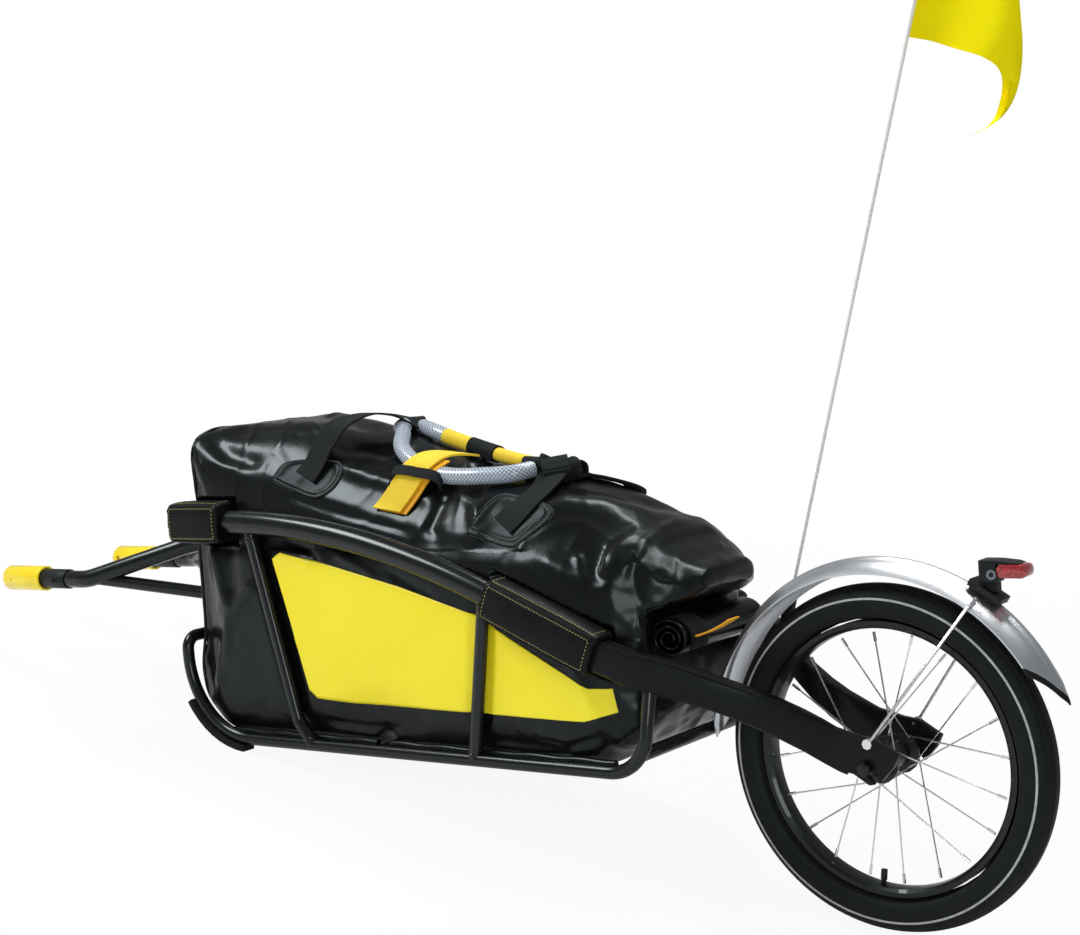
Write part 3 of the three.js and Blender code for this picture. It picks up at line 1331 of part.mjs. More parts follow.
function hoseBody(rows, side) {
  const route = bagRoute(rows, side);
  const points = route.map((step) => step.point);
  const first = points[0].clone().sub(points[1]).normalize().multiplyScalar(cutOverrun).add(points[0]);
  const last = points[points.length - 1].clone().sub(points[points.length - 2]).normalize()
    .multiplyScalar(cutOverrun).add(points[points.length - 1]);
  return cut(tube(points, hose.radius, thinSides), tube([first, ...points, last], hose.bore, thinSides));
}

function addHandles() {
  add('handle_web_left', 'webbingBlack', handleWebBody(webFrontShares, hoseOverShares, webFarRearShares, 1));
  add('handle_web_right', 'webbingBlack', handleWebBody(webFarShares, hoseNearShares, webRearShares, 1));
  add('hose_grip_right', 'hoseGrey', hoseBody(hoseOverShares, 1));
  add('hose_grip_left', 'hoseGrey', hoseBody(hoseNearShares, 1));
  add('grip_wrap', 'yellow', cut(
    strap(bagRoute(wrapShares, 1), wrapStrap.width, wrapStrap.thickness), bagShell(bagStationShares, gap)));
}

// Coloured side panel: a thin sheet that lies on the bag's side
function sidePanelBody(side) {
  const outline = panelOutlineShares.map(([x, z]) =>
    new THREE.Vector2(bagFront + bagLength * x, bagBottom + bagHeight * z));
  return closed(new THREE.ExtrudeGeometry(new THREE.Shape(outline), { depth: panelWall, bevelEnabled: false })
    .rotateX(Math.PI / 2).translate(0, panelWall / 2 + side * (bagHalfWidth + gap + panelWall / 2), 0));
}

function addBag() {
  add('bag_body', 'bagBlack', bagBody());
  add('bag_roll_top', 'bagBlack', rollTopBody());
  for (const [name, side] of Object.entries(sides)) {
    add(`side_panel_${name}`, 'yellow', sidePanelBody(side));
  }
}

// Parking angle: the floor touches the tyre and the skid bands from below
function parkingAngle() {
  const skidOuter = runnerRadius + baseRadius + skid.innerClearance + skid.thickness;
  const ahead = -runnerX;
  const above = baseHeight + runnerRadius;
  const distance = Math.hypot(ahead, above);
  return Math.atan2(above, ahead) + Math.asin((wheelRadius - skidOuter) / distance);
}

addFrame();
addPads();
addDrawbar();
addWheel();
addFender();
addLightAndFlag();
addBag();
addHandles();

trailer.rotation.y = -parkingAngle();
trailer.updateMatrixWorld(true);
const box = new THREE.Box3().setFromObject(trailer, true);
trailer.position.set(-(box.min.x + box.max.x) / 2, 0, -box.min.z);

const group = new THREE.Group();
group.name = 'touring_trailer';
group.add(trailer);

export default group;
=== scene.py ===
# Single wheel touring trailer with its dry bag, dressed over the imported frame.
# Design coordinates are millimetres in the level riding frame, from the middle of the wheel axle;
# placed() tips them nose down onto the floor and turns them into metres.

import math
import bpy
import bmesh
import numpy as np
from contextlib import contextmanager
from mathutils import Matrix, Vector, noise
from mathutils.bvhtree import BVHTree


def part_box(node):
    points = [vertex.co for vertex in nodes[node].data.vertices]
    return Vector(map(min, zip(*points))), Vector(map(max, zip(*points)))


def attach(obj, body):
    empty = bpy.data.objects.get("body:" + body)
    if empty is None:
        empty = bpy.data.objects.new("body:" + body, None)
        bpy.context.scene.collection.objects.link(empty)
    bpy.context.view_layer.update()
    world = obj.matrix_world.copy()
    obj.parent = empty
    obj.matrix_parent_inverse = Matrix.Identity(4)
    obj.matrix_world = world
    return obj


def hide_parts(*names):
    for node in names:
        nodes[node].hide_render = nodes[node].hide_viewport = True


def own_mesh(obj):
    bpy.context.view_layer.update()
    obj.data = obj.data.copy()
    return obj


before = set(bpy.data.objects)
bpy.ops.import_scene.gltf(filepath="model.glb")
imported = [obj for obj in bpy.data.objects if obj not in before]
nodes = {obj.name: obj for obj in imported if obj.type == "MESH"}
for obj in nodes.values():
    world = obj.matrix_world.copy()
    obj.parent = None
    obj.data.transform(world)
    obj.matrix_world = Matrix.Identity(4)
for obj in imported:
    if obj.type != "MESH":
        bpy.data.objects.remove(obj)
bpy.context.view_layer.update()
scene = bpy.context.scene

# Placing
MM = 0.001
TIP = 0.20526832503347592
ROUND = 2 * math.pi
MIRROR = np.array([1.0, -1.0, 1.0])
SIDES = (("left", -1), ("right", 1))


def middle(node):
    """Middle of a CAD node's box, in metres."""
    low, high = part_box(node)
    return np.array((low + high) / 2)


WHEEL = middle("rim") * np.array([1.0, 0.0, 1.0])


def placed(points):
    """Design millimetres to the part's frame in metres."""
    x, y, z = np.moveaxis(np.asarray(points, float), -1, 0)
    c, s = math.cos(TIP), math.sin(TIP)
    return np.stack([x * c - z * s, y, x * s + z * c], axis=-1) * MM + WHEEL


def unplaced(points):
    """The part's frame in metres to design millimetres."""
    x, y, z = np.moveaxis((np.asarray(points, float) - WHEEL) / MM, -1, 0)
    c, s = math.cos(TIP), math.sin(TIP)
    return np.stack([x * c + z * s, y, -x * s + z * c], axis=-1)


def unit(v):
    v = np.asarray(v, float)
    return v / np.maximum(np.linalg.norm(v, axis=-1, keepdims=True), 1e-12)


def heading(direction):
    """A design direction as a unit vector of the part's frame."""
    return unit(placed(direction) - placed((0, 0, 0)))


BACK = heading((1, 0, 0))
DOWN = heading((0, 0, -1))


def linked(name, data):
    """A new object of the scene."""
    obj = bpy.data.objects.new(name, data)
    scene.collection.objects.link(obj)
    return obj


# Camera, its turns in degrees, its film and lens in mm, its place in metres from the wheel and the floor
YAW = 35.98
PITCH = 11.3
ROLL = 5.16
FILM = 36
LENS = 66.669
SIGHT = 100
EYE_BACK = 0.92749
EYE_SIDE = -1.9994
EYE_HIGH = 0.929


def add_camera():
    yaw, pitch, roll = map(math.radians, (YAW, PITCH, ROLL))
    level = math.cos(pitch)
    forward = Vector((-math.sin(yaw) * level, math.cos(yaw) * level, -math.sin(pitch)))
    right = forward.cross(Vector((0, 0, 1))).normalized()
    up = right.cross(forward)
    side = right * math.cos(roll) + up * math.sin(roll)
    top = up * math.cos(roll) - right * math.sin(roll)
    data = bpy.data.cameras.new("camera")
    data.sensor_width = FILM
    data.sensor_fit = "HORIZONTAL"
    data.lens = LENS
    data.clip_end = SIGHT
    camera = linked("camera", data)
    place = Matrix((side, top, -forward)).transposed().to_4x4()
    place.translation = Vector((WHEEL[0] + EYE_BACK, EYE_SIDE, EYE_HIGH))
    camera.matrix_world = place
    scene.camera = camera


add_camera()

# Paints; lengths in a bump are metres, scales of waves in UV space count from millimetres
DARK_SPECULAR = 0.2
DARK_TINT = (0.80, 0.97, 1.0, 1.0)
NOISE_ROUGHNESS = 0.55
EDGE_FROM = 0.52
EDGE_TO = 0.62
EDGE_SHARE = 0.3
paint = {}


def grey(value):
    return (value, value, value)


class Nodes:
    """A small writer of one node tree."""

    def __init__(self, tree):
        self.tree = tree

    def feed(self, socket, value):
        """Links another node's output to the socket, or sets the socket's own value."""
        if isinstance(value, bpy.types.NodeSocket):
            self.tree.links.new(value, socket)
        else:
            socket.default_value = value

    def node(self, kind, *inputs, **values):
        """A node with settings and inputs by name, and its first inputs in their order."""
        made = self.tree.nodes.new("ShaderNode" + kind)
        for key, value in values.items():
            if key in made.inputs:
                self.feed(made.inputs[key], value)
            else:
                setattr(made, key, value)
        for socket, value in zip(made.inputs, inputs):
            self.feed(socket, value)
        return made

    def mapped(self, space="Object", stretch=(1, 1, 1), rotation=0.0):
        source = self.node("TexCoord").outputs[space]
        return self.node("Mapping", Vector=source, Scale=stretch, Rotation=(0, 0, rotation)).outputs["Vector"]

    def noise(self, scale, detail, distortion=0.0, **mapping):
        return self.node("TexNoise", Vector=self.mapped(**mapping), Scale=scale, Detail=detail,
                         Roughness=NOISE_ROUGHNESS, Distortion=distortion).outputs["Fac"]

    def cells(self, scale, feature="F1"):
        return self.node("TexVoronoi", feature=feature, Vector=self.mapped(), Scale=scale).outputs["Distance"]

    def wave(self, scale, direction, **mapping):
        return self.node("TexWave", bands_direction=direction, Vector=self.mapped(**mapping),
                         Scale=scale).outputs["Fac"]

    def maths(self, how, *inputs):
        return self.node("Math", *inputs, operation=how).outputs[0]

    def remap(self, value, low, high, from_low=0.0, from_high=1.0):
        return self.node("MapRange", value, from_low, from_high, low, high).outputs["Result"]

    def ramp(self, value, *stops):
        made = self.node("ValToRGB", value)
        elements = made.color_ramp.elements
        while len(elements) < len(stops):
            elements.new(0.5)
        for element, (place, color) in zip(elements, stops):
            element.position = place
            element.color = (*color, 1)
        return made.outputs["Color"]

    def mix(self, share, first, second):
        """Two colours mixed by a share."""
        made = self.node("Mix", share, data_type="RGBA")
        self.feed(made.inputs[6], first)
        self.feed(made.inputs[7], (*second, 1))
        return made.outputs[2]


class Paint(Nodes):
    """The node tree of a material, round one Principled shader."""

    def __init__(self, name):
        self.mat = bpy.data.materials.new(name)
        self.mat.use_nodes = True
        super().__init__(self.mat.node_tree)
        self.shader = self.tree.nodes["Principled BSDF"]
        self.normal = None

    def set(self, **sockets):
        for key, value in sockets.items():
            self.feed(self.shader.inputs[key.replace("_", " ")], value)

    def plain(self, color, **sockets):
        self.set(Base_Color=(*color, 1), **sockets)

    def dark(self, specular=DARK_SPECULAR, **sockets):
        """The faint cool shine of a black surface."""
        self.set(Specular_IOR_Level=specular, Specular_Tint=DARK_TINT, **sockets)

    def cloudy(self, scale, detail, first, second, first_at=0.3, second_at=0.75, **mapping):
        """Two colours that pass into each other."""
        place = self.noise(scale, detail, **mapping)
        self.set(Base_Color=self.ramp(place, (first_at, first), (second_at, second)))

    def varied(self, scale, detail, low, high, **mapping):
        """Roughness between two values."""
        self.set(Roughness=self.remap(self.noise(scale, detail, **mapping), low, high))

    def bump(self, height, strength, distance):
        made = self.node("Bump", Strength=strength, Distance=distance, Height=height)
        if self.normal:
            self.feed(made.inputs["Normal"], self.normal)
        self.normal = made.outputs["Normal"]
        self.set(Normal=self.normal)

    def grain(self, scale, detail, strength, distance, **mapping):
        self.bump(self.noise(scale, detail, **mapping), strength, distance)

    def edge_wear(self, color):
        """Lighter rubbed edges, by the Pointiness of the surface."""
        point = self.node("NewGeometry").outputs["Pointiness"]
        worn = self.ramp(point, (EDGE_FROM, grey(0)), (EDGE_TO, grey(EDGE_SHARE)))
        base = self.shader.inputs["Base Color"]
        under = base.links[0].from_socket if base.is_linked else tuple(base.default_value)
        self.feed(base, self.mix(worn, under, color))


def finish():
    """Makes the material that a function describes, named after it, and keeps it by that name."""
    def keep(describe):
        made = Paint(describe.__name__)
        describe(made)
        paint[describe.__name__] = made.mat
        return describe
    return keep


@finish()
def frame_gloss(p):
    p.dark(Coat_Weight=0.35, Coat_Roughness=0.12)
    p.varied(40, 5, 0.22, 0.34)
    p.cloudy(14, 4, (0.0030, 0.0032, 0.0034), (0.0052, 0.0055, 0.0058))
    p.grain(900, 3, 0.10, 0.0002)
    p.edge_wear((0.035, 0.036, 0.037))


@finish()
def arm_satin(p):
    p.dark(0.1, Coat_Weight=0.12, Coat_Roughness=0.16)
    p.varied(60, 5, 0.34, 0.46)
    p.cloudy(10, 4, (0.0033, 0.0035, 0.0037), (0.0060, 0.0063, 0.0066))
    p.grain(1400, 2, 0.12, 0.0002)
    p.edge_wear((0.03, 0.032, 0.033))


@finish()
def coated_cloth(p):
    p.dark(Coat_Weight=0.10, Coat_Roughness=0.14)
    p.cloudy(7, 5, (0.0025, 0.0026, 0.0029), (0.0052, 0.0055, 0.0060), second_at=0.8)
    p.varied(18, 6, 0.20, 0.38, distortion=0.6)
    p.bump(p.maths("ADD", p.wave(260, "X"), p.wave(260, "Z")), 0.06, 0.0002)
    p.grain(55, 5, 0.22, 0.0010, distortion=0.8)


@finish()
def patch_cloth(p):
    p.dark()
    p.plain((0.0050, 0.0052, 0.0055))
    p.varied(30, 5, 0.34, 0.5)
    p.bump(p.cells(420), 0.35, 0.0005)
    p.grain(70, 4, 0.2, 0.001)


@finish()
def panel_print(p):
    p.set(Specular_IOR_Level=0.35)
    p.cloudy(6, 4, (0.98, 0.80, 0.014), (1.0, 0.88, 0.030), first_at=0.25)
    p.varied(24, 5, 0.24, 0.38)
    p.grain(26, 5, 0.25, 0.001, distortion=0.5)
    p.grain(7.5, 3, 0.5, 0.007, distortion=0.9)


@finish()
def webbing(p):
    p.dark(Roughness=0.7, Sheen_Weight=0.03, Sheen_Roughness=0.5)
    p.bump(p.maths("MULTIPLY", p.wave(0.2, "X", space="UV"), p.wave(0.16, "Y", space="UV")), 0.7, 0.0006)
    p.cloudy(60, 4, (0.0028, 0.0028, 0.0029), (0.0060, 0.0060, 0.0063), second_at=0.8)


@finish()
def wrap_cloth(p):
    p.set(Roughness=0.62, Sheen_Weight=0.1)
    p.cloudy(30, 5, (0.86, 0.56, 0.006), (0.98, 0.72, 0.012), first_at=0.25)
    p.bump(p.maths("ADD", p.wave(0.5, "X", space="UV"), p.wave(0.5, "Y", space="UV")), 0.35, 0.0004)
    p.grain(90, 4, 0.25, 0.001)


# The wrap's cloth in a darker orange: painted shade, for the layer under the top wrap and for the roll's
# strap end.
@finish()
def wrap_cloth_painted_shade(p):
    p.plain((0.86, 0.40, 0.006), Roughness=0.62)
    p.grain(90, 4, 0.25, 0.001)


@finish()
def braided_hose(p):
    p.set(Roughness=0.3, Coat_Weight=0.6, Coat_Roughness=0.1)
    braid = p.maths("MULTIPLY", *(p.wave(0.085, "X", space="UV", rotation=turn) for turn in (0.7, -0.7)))
    stops = (0.02, (0.20, 0.24, 0.31)), (0.3, (0.42, 0.48, 0.56)), (0.9, (0.74, 0.79, 0.84))
    p.set(Base_Color=p.ramp(braid, *stops))
    p.bump(braid, 0.5, 0.0006)


@finish()
def pad_leather(p):
    p.dark(0.10, Coat_Weight=0.08, Coat_Roughness=0.25)
    p.cloudy(20, 5, (0.0030, 0.0034, 0.0031), (0.0068, 0.0075, 0.0070))
    p.varied(45, 5, 0.42, 0.60)
    p.bump(p.cells(330, "SMOOTH_F1"), 0.3, 0.0005)
    p.grain(60, 5, 0.35, 0.0012)


@finish()
def stitching(p):
    p.plain((0.34, 0.28, 0.10), Roughness=0.6)
    p.grain(2500, 2, 0.3, 0.0002)


@finish()
def thread_dark(p):
    p.plain((0.11, 0.12, 0.125), Roughness=0.5)
    p.grain(2500, 2, 0.3, 0.0002)


@finish()
def tyre_rubber(p):
    p.dark()
    p.cloudy(25, 5, (0.0039, 0.0039, 0.0040), (0.0077, 0.0077, 0.0079), second_at=0.8)
    p.varied(90, 4, 0.5, 0.72)
    p.grain(1200, 3, 0.2, 0.0003)


@finish()
def reflex_band(p):
    p.set(Roughness=0.38, Metallic=0.15)
    p.cloudy(120, 4, (0.34, 0.35, 0.36), (0.52, 0.53, 0.54))
    p.bump(p.cells(1500), 0.2, 0.0002)


@finish()
def rim_black(p):
    p.dark(Coat_Weight=0.3)
    p.plain((0.0055, 0.0057, 0.0060))
    p.varied(200, 4, 0.24, 0.4)
    p.grain(1500, 2, 0.06, 0.0002)


@finish()
def bright_steel(p):
    p.plain((0.74, 0.75, 0.77), Metallic=1.0)
    p.varied(300, 4, 0.16, 0.34)
    p.grain(1500, 2, 0.05, 0.0002)


@finish()
def mudguard_alloy(p):
    p.set(Metallic=1.0)
    brushed = p.noise(260, 4, space="UV", stretch=(0.02, 1, 1))
    p.set(Roughness=p.remap(brushed, 0.25, 0.42))
    p.cloudy(9, 4, (0.60, 0.62, 0.65), (0.75, 0.77, 0.79))
    p.bump(brushed, 0.10, 0.0003)


@finish()
def yellow_anodised(p):
    p.set(Roughness=0.3, Coat_Weight=0.4, Coat_Roughness=0.15)
    p.cloudy(30, 4, (0.88, 0.65, 0.008), (0.97, 0.78, 0.014))
    p.grain(1200, 2, 0.06, 0.0002)


@finish()
def black_plastic(p):
    p.dark()
    p.plain((0.0077, 0.0077, 0.0080))
    p.varied(80, 4, 0.36, 0.52)
    p.grain(1600, 3, 0.16, 0.0002)
    p.edge_wear((0.05, 0.05, 0.05))


@finish()
def rubber_black(p):
    p.dark(Roughness=0.75)
    p.plain((0.0077, 0.0077, 0.0077))
    p.grain(700, 3, 0.3, 0.0003)


@finish()
def lens_red(p):
    p.set(Roughness=0.12, Coat_Weight=1.0, Coat_Roughness=0.04)
    cells = p.cells(260)
    p.set(Base_Color=p.ramp(cells, (0.0, (0.62, 0.02, 0.03)), (0.6, (0.26, 0.002, 0.004))))
    p.bump(cells, 0.15, 0.0005)


@finish()
def reflector_grey(p):
    p.plain((0.16, 0.18, 0.21), Roughness=0.3, Metallic=0.3)
    p.bump(p.cells(900), 0.3, 0.0003)


@finish()
def pole_white(p):
    p.set(Roughness=0.35)
    p.cloudy(30, 3, (0.74, 0.74, 0.71), (0.86, 0.86, 0.83), stretch=(1, 1, 0.1))
    p.grain(900, 2, 0.15, 0.0002, stretch=(1, 1, 0.05))


@finish()
def flag_cloth(p):
    p.set(Roughness=0.7, Specular_IOR_Level=0.05)
    p.cloudy(8, 4, (0.98, 0.80, 0.002), (1.0, 0.90, 0.003))
    p.bump(p.maths("ADD", p.wave(1.6, "X", space="UV"), p.wave(1.6, "Y", space="UV")), 0.12, 0.0002)


# Lines
SPLINE_SPANS = (((0, 1), (1, 2), (2, 3)), ((0, 2), (1, 3)), ((1, 2),))


def points_at(x, y, z):
    """Points from their coordinates, single values repeated."""
    return np.stack(np.broadcast_arrays(x, y, z), axis=-1).astype(float)


def around(count):
    """Even angles once round."""
    return np.arange(count) / count * ROUND


def spline(points, per):
    """Centripetal Catmull-Rom through the points."""
    p = np.asarray(points, float)
    ends = np.concatenate([[2 * p[0] - p[1]], p, [2 * p[-1] - p[-2]]])
    out = []
    for i in range(len(p) - 1):
        four = ends[i:i + 4]
        knots = np.cumsum([0, *np.linalg.norm(np.diff(four, axis=0), axis=1) ** 0.5])
        for t in knots[1] + (knots[2] - knots[1]) * np.arange(per) / per:
            row = four
            for spans in SPLINE_SPANS:
                row = [((knots[b] - t) * first + (t - knots[a]) * second) / (knots[b] - knots[a])
                       for first, second, (a, b) in zip(row, row[1:], spans)]
            out.append(row[0])
    return np.array(out + [p[-1]])


def filleted(corners, radius, step=8):
    """The corners joined by arcs of the radius, a point every few degrees."""
    c = [np.asarray(p, float) for p in corners]
    out = [c[0]]
    for before, corner, after in zip(c, c[1:], c[2:]):
        back, ahead = unit(before - corner), unit(after - corner)
        turn = math.pi - math.acos(np.clip(back @ ahead, -1, 1))
        centre = corner + unit(back + ahead) * (radius / math.cos(turn / 2))
        arm = corner + back * (radius * math.tan(turn / 2)) - centre
        across = np.cross(unit(np.cross(back, ahead)), arm)
        count = max(2, int(math.degrees(turn) / step))
        for t in -turn * np.arange(count + 1) / count:
            out.append(centre + arm * math.cos(t) + across * math.sin(t))
    return np.array(out + [c[-1]])


def run_along(points):
    """Length from the line's start to each of its points."""
    return np.concatenate([[0], np.cumsum(np.linalg.norm(np.diff(points, axis=0), axis=1))])


def respaced(line, count, endpoint=True):
    """The line with so many evenly spaced points."""
    run = run_along(line)
    t = np.linspace(0, run[-1], count, endpoint=endpoint)
    return np.stack([np.interp(t, run, line[:, k]) for k in range(3)], axis=1)


def even_line(points, count):
    return respaced(spline(points, 12), count)


def even_ring(ring, count):
    return respaced(np.concatenate([ring, ring[:1]]), count, endpoint=False)


def sides_along(points):
    """Two crosswise directions at every point of a line, which don't twist round it."""
    tangents = unit(np.gradient(points, axis=0))
    a = np.array([0.0, 0.0, 1.0] if abs(tangents[0, 1]) > 0.9 else [0.0, 1.0, 0.0])
    sides = []
    for tangent in tangents:
        a = unit(a - tangent * (a @ tangent))
        sides.append(a)
    return np.array(sides), np.cross(tangents, sides)


# Meshes; the CAD's own faces are merged within a distance in metres and an angle in radians
MERGE_NEAR = 1e-6
MERGE_FLAT = 0.004
BEVEL_SMOOTHER = 12
LATHE_START = (0.3, 0.4, 0.86)
BLOCK_FACES = ((0, 3, 2, 1), (4, 5, 6, 7), (0, 1, 5, 4), (1, 2, 6, 5), (2, 3, 7, 6), (3, 0, 4, 7))


@contextmanager
def edited(obj):
    """The object's mesh as a bmesh, written back at the end."""
    bm = bmesh.new()
    bm.from_mesh(obj.data)
    yield bm
    bm.to_mesh(obj.data)
    bm.free()


def finish_mesh(obj, look, smooth):
    """Outward normals, the paint, and smooth shading over edges of up to so many degrees."""
    limit = math.radians(smooth)
    with edited(obj) as bm:
        bmesh.ops.recalc_face_normals(bm, faces=bm.faces)
        for f in bm.faces:
            f.smooth = True
        for e in bm.edges:
            if len(e.link_faces) == 2:
                e.smooth = e.calc_face_angle(0) < limit
    obj.data.materials.clear()
    obj.data.materials.append(paint[look])


def new_object(name, verts, faces, look, smooth=40, uvs=None):
    """An object from points in metres, its faces and a texture place for every point."""
    mesh = bpy.data.meshes.new(name)
    mesh.from_pydata(verts, [], faces)
    if uvs is not None:
        index = np.zeros(len(mesh.loops), int)
        mesh.loops.foreach_get("vertex_index", index)
        mesh.uv_layers.new(name="UVMap").data.foreach_set("uv", uvs[index].ravel())
    mesh.validate()
    obj = linked(name, mesh)
    finish_mesh(obj, look, smooth)
    return obj


def quads(rows, cols, round_rows=False, round_cols=False):
    """The four-cornered faces of a net of points."""
    faces = []
    for i in range(rows - (not round_rows)):
        a, b = i * cols, (i + 1) % rows * cols
        for j in range(cols - (not round_cols)):
            k = (j + 1) % cols
            faces.append((a + j, a + k, b + k, b + j))
    return faces


def ends(rows, count):
    """The first and the last ring's own faces."""
    last = (rows - 1) * count
    return [tuple(range(count))[::-1], tuple(range(last, last + count))]


def loft(name, rings, look, smooth=60, uvs=None):
    """A closed skin over rings of points in metres."""
    rows, count = rings.shape[:2]
    faces = quads(rows, count, round_cols=True) + ends(rows, count)
    return new_object(name, rings.reshape(-1, 3), faces, look, smooth, uvs)


def tube(name, points, radius, look, sides=28):
    """A round bar of a radius in mm along a line in metres."""
    a, b = sides_along(points)
    angle = around(sides)
    ring = np.cos(angle)[None, :, None] * a[:, None] + np.sin(angle)[None, :, None] * b[:, None]
    uvs = np.stack(np.broadcast_arrays(run_along(points)[:, None] / MM, angle * radius), axis=-1)
    return loft(name, points[:, None] + ring * (radius * MM), look, 50, uvs.reshape(-1, 2))


def lathe(name, profile, centre, axis, look, segments, smooth=35):
    """Rows of (radius, along) turned about an axis of the design frame."""
    radius, along = np.array(profile, float).T[..., None]
    other = unit(np.cross(axis, LATHE_START))
    a = around(segments)[:, None]
    ring = np.cos(a) * other + np.sin(a) * np.cross(unit(axis), other)
    verts = np.asarray(centre, float) + ring[:, None] * radius + unit(axis) * along
    faces = quads(segments, len(radius), True, True)
    return new_object(name, placed(verts.reshape(-1, 3)), faces, look, smooth)


def grid(name, points, look, thickness=0.0, smooth=50):
    """A sheet through a net of points in metres, given a thickness in mm."""
    rows, cols = points.shape[:2]
    along, across = run_along(points[:, cols // 2]) / MM, run_along(points[rows // 2]) / MM
    uvs = np.stack(np.meshgrid(along, across, indexing="ij"), axis=-1).reshape(-1, 2)
    obj = new_object(name, points.reshape(-1, 3), quads(rows, cols), look, smooth, uvs)
    if thickness:
        modify(obj, "SOLIDIFY", thickness=thickness * MM, offset=0)
    return obj


def blocks(name, corners, look):
    """Small blocks in one object, from eight corners in metres for each."""
    faces = [tuple(8 * k + c for c in face) for k in range(len(corners) // 8) for face in BLOCK_FACES]
    return new_object(name, corners, faces, look, 30)


def apply_modifiers(obj):
    bpy.context.view_layer.update()
    graph = bpy.context.evaluated_depsgraph_get()
    shown = obj.evaluated_get(graph)
    mesh = bpy.data.meshes.new_from_object(shown, preserve_all_data_layers=True, depsgraph=graph)
    obj.modifiers.clear()
    obj.data = mesh


def modify(obj, kind, **settings):
    """Applies one modifier to the object's mesh."""
    modifier = obj.modifiers.new(kind.lower(), kind)
    for key, value in settings.items():
        setattr(modifier, key, value)
    apply_modifiers(obj)


def coordinates(obj, key="co"):
    out = np.zeros(len(obj.data.vertices) * 3)
    obj.data.vertices.foreach_get(key, out)
    return out.reshape(-1, 3)


def move_to(obj, points):
    obj.data.vertices.foreach_set("co", np.asarray(points, float).ravel())
    obj.data.update()


def joined(name, objects):
    """Several new objects as one, with their materials kept."""
    bpy.ops.object.select_all(action="DESELECT")
    for obj in objects:
        obj.select_set(True)
    bpy.context.view_layer.objects.active = objects[0]
    bpy.ops.object.join()
    objects[0].name = name
    return objects[0]


def dress(obj, *replaced, body="trailer_frame", slot=None):
    """Puts the piece on its body and hides the CAD nodes that it stands for; its slot is not used."""
    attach(obj, body)
    if replaced:
        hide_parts(*replaced)
    return obj


def polished(name, node, look, bevel=0.0, smooth=34, steps=2, **where):
    """A copy of a CAD node with smooth shading and softened edges, in its place."""
    obj = linked(name, nodes[node].data.copy())
    with edited(obj) as bm:
        bmesh.ops.remove_doubles(bm, verts=bm.verts, dist=MERGE_NEAR)
        bmesh.ops.dissolve_limit(bm, angle_limit=MERGE_FLAT, verts=bm.verts, edges=bm.edges)
        bmesh.ops.triangulate(bm, faces=bm.faces)
    finish_mesh(obj, look, smooth)
    if bevel:
        modify(obj, "BEVEL", width=bevel * MM, segments=steps, limit_method="ANGLE",
               angle_limit=math.radians(smooth))
        finish_mesh(obj, look, smooth + BEVEL_SMOOTHER)
    return dress(obj, node, **where)


def surface_of(obj):
    bm = bmesh.new()
    bm.from_mesh(obj.data)
    tree = BVHTree.FromBMesh(bm)
    bm.free()
    return tree


def laid(tree, points, lift):
    """Design points laid on a surface, so many mm over it, in metres."""
    out = []
    for p in points:
        near, normal, _, _ = tree.find_nearest(Vector(placed(p)))
        out.append(near + normal * (lift * MM))
    return np.array(out)


def met(tree, start, direction, reach=1.0):
    """Where a ray from a design point meets a surface, in design mm, or None."""
    hit = tree.ray_cast(Vector(placed(start)), Vector(direction), reach)[0]
    return None if hit is None else unplaced(hit)


# Frame tubes
RAIL_Y = 150.0
RAIL_Z = 287.0
RAIL_R = 16.0
RAIL_FRONT = -985.0
RAIL_BEND = 38.0
RAIL_END = -330.0
ARC_X = -890.0
ARC_R = 1180.0
ARC_TURN = 0.4
ARC_END = ARC_X + ARC_R * math.sin(ARC_TURN)
BASE_Z = -5.0
BASE_R = 8.0
BASE_BEND = 17.0
BASE_HEAD_RISE = 25.0
BASE_REAR_X = -283.0
BASE_REAR_R = 55.0
BASE_REAR_TURN = math.radians(80)
BASE_TOP = (-228, 137, 92)
RUNNER_X = -866.0
RUNNER_R = 109.0
FRONT_STAY = ((-838, 276), (-776, 24), (-752, BASE_Z))
FRONT_STAY_R = 8.5
FRONT_STAY_BEND = 25.5
MID_STAY_TOP = -450.0
MID_STAY_FOOT = -484.0
MID_STAY_R = 8.0
CROSS_HALF = 149.0
CROSS_R = 8.02
SKIN = 0.05
WELD_SUNK = 0.5
WELD_HIGH = 1.9
WELD_HALF = 2.2
# Reach of each weld from the stay's end: front top, mid top, mid foot, front foot
WELD_REACHES = (13.0, 15.4, 7.2, 7.4)


def rail_height(x):
    """Height of the rail's middle line."""
    bowed = RAIL_Z - ARC_R + np.sqrt(ARC_R ** 2 - (np.clip(x, ARC_X, ARC_END) - ARC_X) ** 2)
    return bowed - np.maximum(x - ARC_END, 0.0) * math.tan(ARC_TURN)


def both_sides(half):
    """A right half's line, from the middle outwards, with its mirror image before it."""
    return np.concatenate([half[::-1] * MIRROR, half])


def frame_tube(name, points, radius, sides, *replaced, **where):
    dress(tube(name, placed(points), radius + SKIN, "frame_gloss", sides), *replaced, **where)


def add_rails():
    corners = [(RAIL_FRONT, 0, RAIL_Z), (RAIL_FRONT, RAIL_Y, RAIL_Z), (ARC_X, RAIL_Y, RAIL_Z)]
    xs = np.linspace(ARC_X, RAIL_END, 60)
    half = np.concatenate([filleted(corners, RAIL_BEND, 5)[1:-1], points_at(xs, RAIL_Y, rail_height(xs))])
    frame_tube("top_rail", both_sides(half), RAIL_R, 36, "rail_left", "rail_right")
    polished("rail_head_lug", "rail_front", "frame_gloss")


